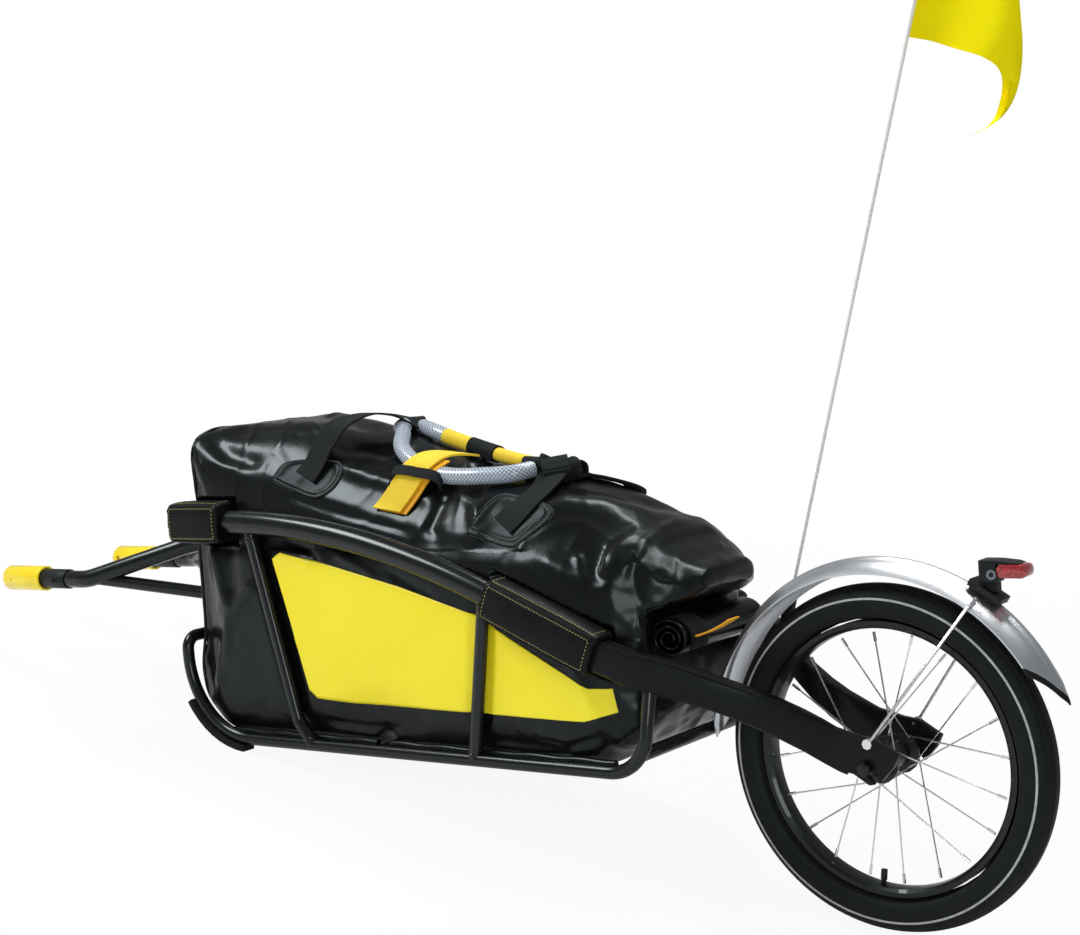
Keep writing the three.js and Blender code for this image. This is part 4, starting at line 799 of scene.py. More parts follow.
def add_base():
    """Lower cross tube, runners, floor tubes and their rise to the arms."""
    front = RUNNER_X - RUNNER_R
    runner_z = BASE_Z + RUNNER_R
    cross_z = runner_z + BASE_HEAD_RISE
    corners = [(front, 0, cross_z), (front, RAIL_Y, cross_z), (front, RAIL_Y, runner_z)]
    a = np.linspace(math.pi / 2, 0, 24)
    runner = points_at(RUNNER_X - np.sin(a) * RUNNER_R, RAIL_Y, runner_z - np.cos(a) * RUNNER_R)
    b = np.linspace(0, BASE_REAR_TURN, 20)
    rise = points_at(BASE_REAR_X + np.sin(b) * BASE_REAR_R, RAIL_Y, BASE_Z + BASE_REAR_R * (1 - np.cos(b)))
    half = np.concatenate([filleted(corners, BASE_BEND)[1:-1], runner, rise, [BASE_TOP]])
    frame_tube("base_loop", both_sides(half), BASE_R, 28, "base_left", "base_right")
    polished("base_head_lug", "base_front", "frame_gloss")


def stay_lines(side):
    """Middle lines of a side's front and mid stay, from the rail down."""
    y = side * RAIL_Y
    front = [(x, y, z) for x, z in FRONT_STAY]
    mid = [(MID_STAY_TOP, y, rail_height(MID_STAY_TOP)), (MID_STAY_FOOT, y, BASE_Z)]
    return np.array(front, float), np.array(mid)


def add_side(name, side):
    front, mid = stay_lines(side)
    front = filleted(front, FRONT_STAY_BEND, 5)
    frame_tube(f"front_stay_{name}_tube", front, FRONT_STAY_R, 28, f"front_stay_{name}")
    frame_tube(f"mid_stay_{name}_tube", mid, MID_STAY_R, 28, f"mid_stay_{name}")
    polished(f"skid_{name}_band", f"skid_{name}", "rubber_black", 1.5, 30)
    polished(f"arm_{name}_shell", f"arm_{name}", "arm_satin", 0.8, 26)


def add_cross_bars():
    for name in ("floor_cross", "rear_cross"):
        reach = np.array([[0, -CROSS_HALF, 0], [0, CROSS_HALF, 0]]) * MM
        ends_at = middle(name) * np.array([1, 0, 1]) + reach
        dress(tube(f"{name}_bar", ends_at, CROSS_R, "frame_gloss"), name)


def add_welds(name, side):
    """Small weld rings where a side's stays meet the rail and the base."""
    front, mid = stay_lines(side)
    spots = ((front[0], front[1], FRONT_STAY_R), (mid[0], mid[1], MID_STAY_R),
             (mid[1], mid[0], MID_STAY_R), (front[2], front[1], FRONT_STAY_R))
    t = around(12)
    for k, ((start, other, radius), reach) in enumerate(zip(spots, WELD_REACHES)):
        along = unit(other - start)
        out = radius - WELD_SUNK + WELD_HIGH * (0.5 + 0.5 * np.cos(t))
        ring = np.stack([out, WELD_HALF * np.sin(t)], axis=1)
        dress(lathe(f"weld_{name[0]}{k}", ring, start + along * reach, along, "frame_gloss", 40))


add_rails()
add_base()
for name, side in SIDES:
    add_side(name, side)
add_cross_bars()
for name, side in SIDES:
    add_welds(name, side)

# Drawbar, its yoke's and braces' points for the right side
HEAD_X = -1032.0
SPAN = 107.0
COUPLER_Z = 197.0
YOKE_R = 12.5
YOKE_BEND = 50.0
YOKE_POINTS = ((HEAD_X - 12, 12.5, 246), (HEAD_X - 51, 37.5, 238.5), (-1222.5, SPAN, COUPLER_Z),
               (-1275, SPAN, COUPLER_Z))
BRACE_R = 9.0
BRACE_FOOT = (HEAD_X - 13, 10.5, 163)
BRACE_SHARE = 0.9
BRACE_DROP = (0, 0, 5)
SLEEVE_BACK = 0.5
SLEEVE_SHORTER = 14.0
SLEEVE_LIP = -1374.0


def add_head():
    polished("yoke_sleeve_round", "yoke_sleeve", "frame_gloss", 0.6, body="drawbar")
    for node in ("steering_bush_upper", "steering_bush_lower"):
        polished(f"{node}_round", node, "black_plastic", 0.6, body="drawbar")
    polished("king_pin_round", "king_pin", "bright_steel", 0.8)


def add_yoke(name, side):
    turned = np.array([1, side, 1])
    arm = filleted(YOKE_POINTS * turned, YOKE_BEND, 4)
    frame_tube(f"yoke_{name}_tube", arm, YOKE_R, 32, f"yoke_{name}", body="drawbar")
    joint = arm[-6] * BRACE_SHARE + arm[2] * (1 - BRACE_SHARE) - BRACE_DROP
    frame_tube(f"brace_{name}_tube", np.array([BRACE_FOOT * turned, joint]), BRACE_R, 28, body="drawbar")


def add_coupler(name):
    polished(f"coupler_{name}_body", f"coupler_{name}", "black_plastic", 0.8, body="drawbar")
    spring = f"coupler_spring_{name}"
    coil = polished(f"coupler_{name}_coil", spring, "bright_steel", smooth=60, body="drawbar")
    along = unplaced(coordinates(coil))[:, 0]
    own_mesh(coil)


def add_sleeve(name):
    """The CAD's sleeve, shorter in front of its lip, so that it clears the hook when it slides."""
    sleeve = polished(f"sleeve_{name}_shell", f"coupler_sleeve_{name}", "yellow_anodised", 1.2, steps=3,
                      body=f"sleeve_{name}")
    d = unplaced(coordinates(sleeve))
    front, rear = d[:, 0].min(), d[:, 0].max()
    d[:, 0] = np.interp(d[:, 0], (front, SLEEVE_LIP, rear),
                        (front + SLEEVE_SHORTER, SLEEVE_LIP, rear + SLEEVE_BACK))
    move_to(sleeve, placed(d))


add_head()
for name, side in SIDES:
    add_yoke(name, side)
    add_coupler(name)
    add_sleeve(name)

# Wheel
AXLE = (0, 0, 0)
ACROSS = (0, 1, 0)
HUB_REACH = 30.0
TYRE_R = 176.6
TYRE_TALL = 23.4
TYRE_HALF = 23.5
TYRE_BEAD_TURN = math.radians(118)
TYRE_TOP = 199.8
TYRE_WALL = 3.0
TYRE_INNER_SHARE = 0.86
TYRE_BEAD_R = 165.0
GROOVES = ((5.4, 7.4), (12.6, 14.2))
GROOVE_DEEP = 1.3
STRIPE = ((183.6, 22.95), (186.0, 22.6), (186.0, 21.5), (183.6, 21.6))
RIM_HALF = ((148.6, -4.6), (149.4, -9.8), (153.0, -12.3), (158.2, -12.5), (158.6, -11.6), (158.2, -10.6),
            (153.2, -10.3), (150.4, -5.0))
# Shoulder blocks: their number, their lifts, and each corner's lead and turn from the tyre's top
TREAD_BLOCKS = 120
TREAD_LIFTS = (-0.6, 0.55)
TREAD_CORNERS = ((-0.014, 50), (0.010, 50), (0.022, 66), (-0.004, 66))


def tyre_point(turn, lift=0.0):
    """Radius and reach to the side of the tyre's skin."""
    return TYRE_R + (TYRE_TALL + lift) * math.cos(turn), (TYRE_HALF + lift) * math.sin(turn)


def add_tyre():
    skin = [tyre_point(turn) for turn in np.linspace(-TYRE_BEAD_TURN, TYRE_BEAD_TURN, 41)]
    tread = []
    for radius, across in skin:
        if any(low < abs(across) < high for low, high in GROOVES):
            radius -= GROOVE_DEEP
        tread.append((min(radius, TYRE_TOP), across))
    inside = [(r - TYRE_WALL if r > TYRE_BEAD_R else r, a * TYRE_INNER_SHARE) for r, a in skin][::-1]
    parts = [lathe("tyre_carcass", tread + inside, AXLE, ACROSS, "tyre_rubber", 180, 32)]
    for side in (-1, 1):
        parts.append(lathe("stripe", [(r, side * a) for r, a in STRIPE], AXLE, ACROSS, "reflex_band", 180))
    dress(joined("tyre_dressed", parts), "tyre", body="road_wheel")


def add_tread():
    """Low slanted blocks on the shoulders of the tyre."""
    verts = []
    for side in (-1, 1):
        for t in around(TREAD_BLOCKS):
            for lift in TREAD_LIFTS:
                for lead, turn in TREAD_CORNERS:
                    radius, across = tyre_point(math.radians(turn), lift)
                    verts.append((math.cos(t + lead) * radius, side * across, math.sin(t + lead) * radius))
    dress(blocks("shoulder_tread", placed(verts), "tyre_rubber"), body="road_wheel")


def add_rim():
    profile = RIM_HALF + tuple((r, -a) for r, a in RIM_HALF[::-1])
    dress(lathe("rim_hoop", profile, AXLE, ACROSS, "rim_black", 180, 28), "rim", body="road_wheel")


def add_part_of_hub(name, look, is_hub):
    """The hub alone or the spokes alone, out of one CAD piece."""
    obj = polished(name, "hub_and_spokes", look, smooth=50, body="road_wheel")

    def from_axle(vertex):
        return math.hypot(vertex.co.x - WHEEL[0], vertex.co.z - WHEEL[2])
    with edited(obj) as bm:
        drop = [f for f in bm.faces if (max(map(from_axle, f.verts)) < HUB_REACH * MM) != is_hub]
        bmesh.ops.delete(bm, geom=drop, context="FACES")
        bmesh.ops.holes_fill(bm, edges=[e for e in bm.edges if e.is_boundary], sides=0)


def add_wheel():
    add_tyre()
    add_rim()
    add_part_of_hub("hub_shell_black", "rim_black", True)
    add_part_of_hub("spokes_bright", "bright_steel", False)
    add_tread()
    for name, _ in SIDES:
        node = f"hub_bearing_{name}"
        polished(f"bearing_{name}_ring", node, "black_plastic", body="road_wheel", slot="steel")
    polished("tube_inside", "inner_tube", "rubber_black", smooth=50, body="road_wheel")
    polished("valve_cap_black", "valve_cap", "black_plastic", 0.5, 40, body="road_wheel")
    polished("axle_blackened", "axle", "rim_black", 0.7, slot="steel")
    polished("lever_black", "quick_release_lever", "black_plastic", 1.2, steps=3, body="lever")


add_wheel()

# Mudguard, its ends in degrees of turn and how these change from the middle to the edge
GUARD_R = 230.0
GUARD_HALF = 31.0
GUARD_WALL = 1.4
GUARD_BOW = 13.0
RIDGE_HIGH = 2.4
RIDGE_SHARE = 0.26
EDGE_SHARES = 0.985
TIP_ANGLE = (20.8, 12)
FRONT_ANGLE = (178, -10)
TRIM_LONG = 2.4
TRIM_GAP = 0.3
TRIM_WALL = 1.8
TRIM_LIFT = 0.2
GUARD_UV_STEP = 6.0


def guard_radius(share):
    ridge = np.maximum(0.0, 1 - (np.abs(share) / RIDGE_SHARE) ** 2) ** 1.5
    return GUARD_R - RIDGE_HIGH - GUARD_BOW * share ** 2 + RIDGE_HIGH * ridge


def guard_sheet(name, first, last, steps, look, wall, lift=0.0):
    """A stretch of the guard between two angles at every share of its half width."""
    share = np.concatenate([[-1.0], np.linspace(-EDGE_SHARES, EDGE_SHARES, 33), [1.0]])
    start, end = first(np.abs(share)), last(np.abs(share))
    angle = start + (end - start) * np.arange(steps + 1)[:, None] / steps
    rows, cols = angle.shape
    count = rows * cols
    radii = [guard_radius(share) + lift - drop for drop in (0.0, wall)]
    verts = np.array([points_at(np.cos(angle) * r, share * GUARD_HALF, np.sin(angle) * r) for r in radii])
    outer = np.array(quads(rows, cols))
    net = np.arange(count).reshape(rows, cols)
    edge = np.concatenate([net[0], net[1:, -1], net[-1, -2::-1], net[-2:0:-1, 0]])
    after = np.roll(edge, -1)
    rim = np.stack([edge, after, after + count, edge + count], axis=1)
    faces = np.concatenate([outer, outer[:, [0, 3, 2, 1]] + count, rim]).tolist()
    uv = np.stack(np.broadcast_arrays(np.arange(rows)[:, None] * GUARD_UV_STEP, share * GUARD_HALF), axis=-1)
    uvs = np.concatenate([uv.reshape(-1, 2)] * 2)
    return new_object(name, placed(verts.reshape(-1, 3)), faces, look, 40, uvs)


def turned_by(angle, ahead=0.0):
    """The angle at a share of the half width, in radians."""
    return lambda share: np.radians(angle[0] + angle[1] * share - ahead)


def add_guard():
    blade = guard_sheet("mudguard_blade", turned_by(TIP_ANGLE), turned_by(FRONT_ANGLE), 96, "mudguard_alloy",
                        GUARD_WALL)
    dress(blade, "fender")
    gap = math.degrees(TRIM_GAP / GUARD_R)
    trim = guard_sheet("mudguard_tip", turned_by(TIP_ANGLE, gap + TRIM_LONG), turned_by(TIP_ANGLE, gap), 10,
                       "black_plastic", TRIM_WALL, TRIM_LIFT)
    dress(trim, "fender_end_trim")
    for name, _ in SIDES:
        polished(f"guard_stay_{name}_wire", f"fender_stay_{name}", "bright_steel", smooth=60)


add_guard()

# Light
DISC_R = 5.6
DISC_OFFSET = (-6.0, 0.1, -2.0)
DISC = ((0.2, 0.6), (DISC_R * 0.45, 0.6), (DISC_R * 0.5, 0.9), (DISC_R, 0.9), (DISC_R, 0.0), (0.2, 0.0))
DISC_CAP = ((0.2, 1.2), (DISC_R * 0.4, 1.2), (DISC_R * 0.45, 0.9), (DISC_R * 0.45, 0.5), (0.2, 0.5))


def add_light():
    polished("light_foot", "light_bracket", "black_plastic", 1.2, steps=3)
    polished("light_case", "light_housing", "black_plastic", 1.6, steps=3)
    polished("light_glass", "light_lens", "lens_red", 1.5, steps=3)
    near = middle("light_housing")
    near[1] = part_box("light_housing")[0].y
    centre = unplaced(near) + DISC_OFFSET
    dress(lathe("light_side_disc", DISC, centre, (0, -1, 0), "reflector_grey", 40))
    dress(lathe("light_side_cap", DISC_CAP, centre, (0, -1, 0), "black_plastic", 32))


add_light()

# Pennant; its lower edge and free edge as offsets to the right, down and away
LOWER_EDGE = [(0, 0, 0), (28, 5, -10), (54, 18, -18), (80, 31, -14), (101, 45, 0), (107, 62, 8), (102, 88, 6),
              (88, 103, 0), (66, 114, -6)]
FREE_EDGE = [(107, -64, -22), (111, -30, -16), (113, 4, -8), (114, 40, -4), (112, 74, -2), (98, 98, -4),
             (66, 114, -6)]
POLE_AXIS = np.array([0.09478, 0.0, 0.9955])
POLE_TIP = math.radians(17.2)
POLE_R = 2.0
POLE_CLEAR = 2.3
HOIST_TOP = 912.7
HOIST = 200.0
UPPER_SAG = (18.0, 44.0)
RIPPLE = (15, 6)
RIPPLE_TURNS = (1.35, 0.1)
RIPPLE_FADE = 0.7


def pennant_points(hoist, right, high, deep):
    """A sheet between the pole, the sagging lower edge and the free edge."""
    cols, rows = 60, len(hoist)

    def edge(offsets, count):
        a, b, c = even_line(np.array(offsets) * MM, count).T[..., None]
        return hoist[-1] + a * right - b * high + c * deep
    lower, free = edge(LOWER_EDGE, cols), edge(FREE_EDGE, rows)
    upper = hoist[0] + (free[0] - hoist[0]) * np.linspace(0, 1, cols)[:, None]
    sag = np.sin(np.linspace(0, math.pi, cols))[:, None] * MM
    upper = upper + right * sag * UPPER_SAG[0] - deep * sag * UPPER_SAG[1]
    u, v = np.linspace(0, 1, cols)[:, None, None], np.linspace(0, 1, rows)[:, None]
    net = (1 - v) * upper[:, None] + v * lower[:, None] + (1 - u) * hoist + u * free
    net -= (1 - v) * ((1 - u) * hoist[0] + u * free[0]) + v * ((1 - u) * hoist[-1] + u * free[-1])
    ripple = np.sin(ROUND * (RIPPLE_TURNS[0] * u + RIPPLE_TURNS[1] * v)) * np.sin(math.pi * u) ** RIPPLE_FADE
    return net + deep * (RIPPLE[0] + RIPPLE[1] * v) * ripple * MM


def add_pole():
    """The pole and the middle of its foot, in metres."""
    polished("pennant_socket", "flag_socket", "black_plastic", 0.6)
    points = coordinates(nodes["flag_pole"])
    height = points @ POLE_AXIS
    foot, tip = points[height < height.min() + MM].mean(0), points[height > height.max() - MM].mean(0)
    pole = tube("pennant_pole", np.linspace(foot, tip, 12), POLE_R, "pole_white", 16)
    dress(pole, "flag_pole", body="pennant")
    return foot


def add_flag(foot):
    up = np.array([math.sin(POLE_TIP), 0, math.cos(POLE_TIP)])
    top = unplaced(foot) + up * HOIST_TOP + np.array([POLE_CLEAR / math.cos(POLE_TIP), 0, 0])
    hoist = placed(top - up * HOIST * np.linspace(0, 1, 34)[:, None])
    view = scene.camera.matrix_world.to_3x3()
    right, high, toward = (np.array(view.col[k]) for k in range(3))
    flag = grid("pennant_cloth", pennant_points(hoist, right, high, -toward), "flag_cloth")
    dress(flag, "flag", body="pennant")


add_flag(add_pole())

# Dry bag
BAG_FRONT = -958.0
BAG_LONG = 702.0
BAG_HALF = 133.0
BAG_LOW = 3.5
BAG_TALL = 405.5
BAG_SAG = 15.0
BAG_BULGE = 6.3
BAG_NOSE = 7.0
BAG_END = BAG_FRONT + BAG_LONG
WIDEST_SHARE = 0.49
ROUND_POWER = 0.9
SQUARE_POWER = 0.35
FLOOR_POWER = 0.13
# rows: along, half width, top, bottom, squareness
BAG_ROWS = np.array([
    (0, 0.995, 0.985, 0.0, 1.3), (0.01, 1, 0.988, 0.0, 1.28), (0.083, 1, 0.99, 0, 1.0),
    (0.198, 1, 1, 0, 0.6), (0.313, 1, 0.968, 0, 0.36), (0.428, 1, 0.915, 0, 0.3),
    (0.52, 1, 0.865, 0, 0.32), (0.6, 1, 0.832, 0, 0.34), (0.69, 1, 0.818, 0, 0.36),
    (0.79, 1, 0.78, 0, 0.34), (0.875, 0.99, 0.725, 0.002, 0.32), (0.96, 0.96, 0.658, 0.026, 0.36),
    (1, 0.88, 0.618, 0.08, 0.4),
])
TAIL_ROWS = np.array([
    (0.94, 0.92, 0.655, 0.41, 0.36), (0.96, 0.9, 0.65, 0.42, 0.36), (1.02, 0.78, 0.58, 0.43, 0.4),
    (1.055, 0.6, 0.54, 0.445, 0.4), (1.08, 0.42, 0.53, 0.47, 0.4),
])


def bag_sizes(rows, along, outset=0.0):
    """Half width, top, bottom, widest height and corner power of a section."""
    read = [np.interp(along, rows[:, 0], rows[:, k]) for k in range(1, 5)]
    half = BAG_HALF * read[0] + outset
    top = BAG_LOW + BAG_TALL * read[1] + outset
    bottom = BAG_LOW + BAG_TALL * read[2] - outset
    widest = bottom + (top - bottom) * WIDEST_SHARE
    power = ROUND_POWER + (SQUARE_POWER - ROUND_POWER) * read[3]
    return half, top, bottom, widest, power


def bag_ring(rows, along, angles, outset=0.0):
    half, top, bottom, widest, power = bag_sizes(rows, along, outset)
    c, s = np.cos(angles), np.sin(angles)
    bend = np.where(s > 0, power, FLOOR_POWER)
    y = np.sign(c) * np.abs(c) ** bend * half
    rise = np.abs(s) ** bend
    z = np.where(s > 0, widest + rise * (top - widest), widest - rise * (widest - bottom))
    return points_at(BAG_FRONT + BAG_LONG * along, y, z)


def shell(rows, starts, count):
    fine = np.linspace(0, ROUND, 721)[:-1] + math.pi / 2
    return np.array([even_ring(bag_ring(rows, a, fine), count) for a in starts])


def capped(rings, shrink, reach):
    """Rings with rounded ends drawn in towards a point."""
    groups = []
    for ring, direction in ((rings[0], -1), (rings[-1], 1)):
        group = []
        for t in np.arange(1, shrink + 1) / (shrink + 1):
            q = ring.mean(0) + (ring - ring.mean(0)) * (1 - t)
            q[:, 0] += direction * reach * math.sin(t * math.pi / 2)
            group.append(q)
        groups.append(np.array(group))
    return np.concatenate([groups[0][::-1], rings, groups[1]])


def bag_top_at(share, across):
    """Height of the bag's top, as the CAD reads it."""
    def height(row):
        half, top, _, widest, power = bag_sizes(BAG_ROWS, row[0])
        c = min(abs(across * BAG_HALF) / half, 1.0) ** (1 / power)
        return widest + math.sqrt(max(0.0, 1 - c * c)) ** power * (top - widest)
    i = int(np.clip(np.searchsorted(BAG_ROWS[:, 0], share), 1, len(BAG_ROWS) - 1))
    before, after = BAG_ROWS[i - 1], BAG_ROWS[i]
    t = (share - before[0]) / (after[0] - before[0])
    return height(before) * (1 - t) + height(after) * t


def bag_point(share, across, lift=0.0):
    """A point over the CAD's bag from its shares along and across."""
    return BAG_FRONT + BAG_LONG * share, BAG_HALF * across, bag_top_at(share, across) + lift


def wave_noise(p, scale, seed):
    return noise.noise(Vector((p[0] * scale + seed, p[1] * scale - seed, p[2] * scale + 2 * seed)))


def crease(p, direction, spacing, width, seed):
    """Sharp-topped folds across a direction, bent by noise; from 0 to 1."""
    bend = wave_noise(p, CREASE_BEND_SCALE, seed) * CREASE_BEND
    t = (np.dot(p, direction) / spacing + bend) % 1.0
    return max(0.0, 1 - min(t, 1 - t) / width) ** CREASE_POWER


def near_line(points, line):
    """Distance of every point to the broken line, and the share of its length there."""
    best = np.full(len(points), np.inf)
    where = np.zeros(len(points))
    line = np.asarray(line, float)
    for k, (a, b) in enumerate(zip(line[:-1], line[1:])):
        along = b - a
        t = np.clip(((points - a) @ along) / (along @ along), 0, 1)
        d = np.linalg.norm(points - (a + t[:, None] * along), axis=1)
        where = np.where(d < best, (k + t) / (len(line) - 1), where)
        best = np.minimum(best, d)
    return best, where


def step(value, low, high):
    t = np.clip((value - low) / (high - low), 0, 1)
    return t * t * (3 - 2 * t)


def pushed(points, line, width, height):
    """How far one fold moves every point, less towards its ends."""
    far, share = near_line(points, line)
    return height * np.exp(-(far / width) ** 2) * np.clip(np.minimum(share, 1 - share) * 5 + 0.25, 0, 1)


# Folds of the cloth; on top as shares along and across, on the sides as design x and z
TOP_FOLDS = (
    ([(0.342, -0.737), (0.411, -0.741), (0.492, -0.722), (0.575, -0.782)], 11, 5.0),
    ([(0.300, -0.60), (0.38, -0.50), (0.45, -0.42)], 12, -3.5),
    ([(0.21, -0.95), (0.349, -0.93), (0.469, -0.93), (0.577, -0.94)], 9, -3.2),
    ([(0.593, -0.62), (0.66, -0.759), (0.692, -0.887), (0.674, -0.951)], 10, 4.6),
    ([(0.583, -0.70), (0.583, -0.80), (0.581, -0.902), (0.61, -0.947)], 11, -4.5),
    ([(0.786, -0.771), (0.829, -0.523), (0.902, -0.293), (0.95, 0.0)], 20, 4.6),
    ([(0.80, -0.30), (0.87, -0.05), (0.94, 0.25)], 16, -4.0),
    ([(0.818, -0.932), (0.897, -0.929), (0.97, -0.887)], 9, 3.6),
    ([(0.889, -0.85), (0.919, -0.947)], 7, 3.6),
    ([(0.945, -0.80), (0.966, -0.932)], 6, 3.2),
    ([(0.053, -0.556), (0.173, -0.47), (0.277, -0.432)], 22, 3.0),
    ([(0.037, -0.842), (0.089, -0.9), (0.172, -0.9)], 12, -3.4),
    ([(0.975, 0.207), (0.982, -0.203), (0.985, -0.549), (0.98, -0.744), (0.972, -0.846)], 7, 5.5),
    ([(0.10, 0.5), (0.22, 0.2), (0.36, 0.05)], 16, 4.0),
    ([(0.14, 0.2), (0.25, -0.05), (0.33, -0.2)], 12, -3.5),
    ([(0.50, 0.5), (0.62, 0.3), (0.74, 0.25)], 14, 4.0),
    ([(0.55, -0.15), (0.64, -0.30), (0.74, -0.42)], 12, -3.4),
    ([(0.30, 0.7), (0.42, 0.62), (0.55, 0.72)], 14, 4.0),
    ([(0.70, 0.75), (0.80, 0.6), (0.90, 0.55)], 14, -4.0),
)
SIDE_FOLDS = (
    ([(-923, 258), (-909, 213), (-898, 164)], 9, 5.2),
    ([(-845, 205), (-872, 179), (-895, 160)], 9, 5.0),
    ([(-888, 262), (-886, 222), (-893, 185)], 13, -5.2),
    ([(-898, 164), (-905, 130), (-912, 100)], 10, 3.4),
    ([(-918, 134), (-927, 95), (-930, 60)], 10, 3.0),
    ([(-808, 247), (-757, 236), (-735, 222)], 7, 3.6),
    ([(-790, 262), (-745, 250), (-721, 228)], 6, -3.4),
    ([(-700, 246), (-652, 228), (-624, 213)], 6, 3.6),
    ([(-612, 226), (-560, 203), (-532, 193)], 6, -3.0),
    ([(-744, 24), (-669, 20), (-608, 22)], 7, -3.2),
    ([(-833, 258), (-820, 240), (-812, 222)], 7, 3.4),
    ([(-949, 170), (-946, 104), (-937, 60)], 9, -3.4),
    ([(-482, 16), (-363, 14), (-300, 31)], 7, -3.0),
    ([(-345, 150), (-320, 90), (-300, 40)], 9, 3.4),
)
FAR_SIDE_SHIFT = (14.0, 0.0, -6.0)
# Noise over the cloth as scale and seed, creases as direction, spacing, width, seed, height and threshold
COARSE_NOISE = (0.012, 3.1)
FINE_NOISE = (0.03, 7.7)
COARSE_HIGH = 2.0
FINE_HIGH = 0.7
CREASES = (((0.45, 0.2, 0.87), 96.0, 0.16, 11.0, 2.4, 0.35), ((0.9, 0.35, -0.2), 67.0, 0.18, 23.0, 1.6, 0.4))
CREASE_BEND_SCALE = 0.006
CREASE_BEND = 1.3
CREASE_POWER = 1.6
CALM_SHARE = 0.3
CALM_BELOW = 250.0
FOLD_LIMIT = 7.5
FRONT_LIMIT = 2.0
# Room beside the bag: to the base and the rails' middle lines, at the stays, under the rails' wraps
ROOM = 147.0
ROOM_AT_STAY = 141.0
ROOM_AT_WRAP = 124.4
ROOM_OVER_RAIL = 150.0
STAY_LINES = (((-776.0, 24.0), (-838.0, 276.0)), ((-484.0, -5.0), (-450.0, 246.0)))
CROSS_BARS = (-640.0, -290.0)
CROSS_TOP = 3.3
FLOOR_LOWEST = -11.0
CORNER_REACH = 34.0
CORNER_SQUARE = 6.0
CORNER_SHARE = 0.85


def fold_bag(d, side, top):
    """Pushes of the folds along the surface normal."""
    move = np.zeros(len(d))
    for line, width, height in TOP_FOLDS:
        move += pushed(d, [bag_point(a, c) for a, c in line], width, height) * top
    for line, width, height in SIDE_FOLDS:
        points = np.array([(x, BAG_HALF + BAG_BULGE, z) for x, z in line])
        for places in (points * MIRROR, points + FAR_SIDE_SHIFT):
            move += pushed(d, places, width, height) * side
    return move


def bulged(d):
    """The sides swell under the rails, the floor sags between the cross bars."""
    x, y, z = d.T
    nose = BAG_NOSE + 9 * (1 - step(z, 100, 116))
    x = x - nose * (1 - step(x, BAG_FRONT, BAG_FRONT + 60)) * (1 - step(z, 262, 300))
    low = step(z, -12, 22) * (1 - step(z, 236, 262))
    ends = step(x, BAG_FRONT - 6, BAG_FRONT + 40) * (1 - step(x, BAG_END - 90, BAG_END))
    flat = step(np.abs(y), 100, 128)
    y = y + np.sign(y) * BAG_BULGE * (0.25 + 0.75 * low) * flat * (1 - step(z, 236, 262)) * ends
    clear = np.min([step(np.abs(x - bar), 9, 20) for bar in CROSS_BARS], axis=0)
    ends = step(x, BAG_FRONT - 6, BAG_FRONT + 30) * (1 - step(x, BAG_END - 60, BAG_END))
    z = z - BAG_SAG * (1 - step(z, 2, 40)) * clear * ends
    return np.stack([x, y, z], axis=1)


def held_in(d):
    """The cloth stays clear of the rails, their wraps, the stays and the base."""
    x, y, z = d.T
    rail = rail_height(x)
    off = np.abs(z - rail)
    spare = ROOM - ROOM_AT_STAY
    room = ROOM_AT_STAY + spare * step(z, 8, 26)
    for foot, head in STAY_LINES:
        at = np.interp(z, (foot[1], head[1]), (foot[0], head[0]))
        room = np.minimum(room, ROOM_AT_STAY + spare * step(np.abs(x - at), 10, 34))
    beside = RAIL_Y - np.sqrt(np.maximum((RAIL_R + 0.6) ** 2 - off ** 2, 0))
    room = np.where(off < RAIL_R + 6, np.minimum(room, beside), room)
    wrapped = ((x < -872) | ((x > ARC_END - 14) & (x < ARC_END + 150))) & (off < 33)
    room = np.where(wrapped, np.minimum(room, ROOM_AT_WRAP + 8 * step(off, 27, 33)), room)
    room = np.where(z > rail + 30, ROOM_OVER_RAIL, room)
    y = np.sign(y) * np.minimum(np.abs(y), room)
    floor = np.full(len(d), FLOOR_LOWEST)
    for bar in CROSS_BARS:
        floor = np.maximum(floor, CROSS_TOP - (CROSS_TOP - FLOOR_LOWEST) * step(np.abs(x - bar), 8.5, 13))
    z = np.maximum(z, floor)
    runner_z = BASE_Z + RUNNER_R
    bow = RUNNER_X - np.sqrt(np.maximum((RUNNER_R + 1) ** 2 - (runner_z - z) ** 2, 0))
    x = np.maximum(x, np.where(z > runner_z + 10, -966.4, np.where(z < runner_z, bow, -975.0)))
    return np.stack([x, y, z], axis=1)


def crisp_corner(obj):
    """The front's rounded top edge drawn out to a sewn corner."""
    d = unplaced(coordinates(obj))
    tree = surface_of(obj)
    for i in np.nonzero((d[:, 0] < BAG_FRONT + CORNER_REACH) & (d[:, 2] > BAG_TALL * 0.8))[0]:
        x, y, z = d[i]
        over = met(tree, (BAG_FRONT + CORNER_REACH, y, BAG_TALL * 1.3), DOWN)
        if over is None:
            continue
        ahead = met(tree, (BAG_FRONT - 90.0, y, over[2] - CORNER_REACH), BACK)
        if ahead is None:
            continue
        u = (ahead[0] + CORNER_REACH - x) / CORNER_REACH
        w = (z - over[2] + CORNER_REACH) / CORNER_REACH
        if u <= 0 or w <= 0:
            continue
        grow = math.hypot(u, w) / (u ** CORNER_SQUARE + w ** CORNER_SQUARE) ** (1 / CORNER_SQUARE)
        d[i, 0] -= (min(u * grow, max(u, 1.0)) - u) * CORNER_REACH * CORNER_SHARE
        d[i, 2] += (min(w * grow, max(w, 1.0)) - w) * CORNER_REACH * CORNER_SHARE
    move_to(obj, placed(d))


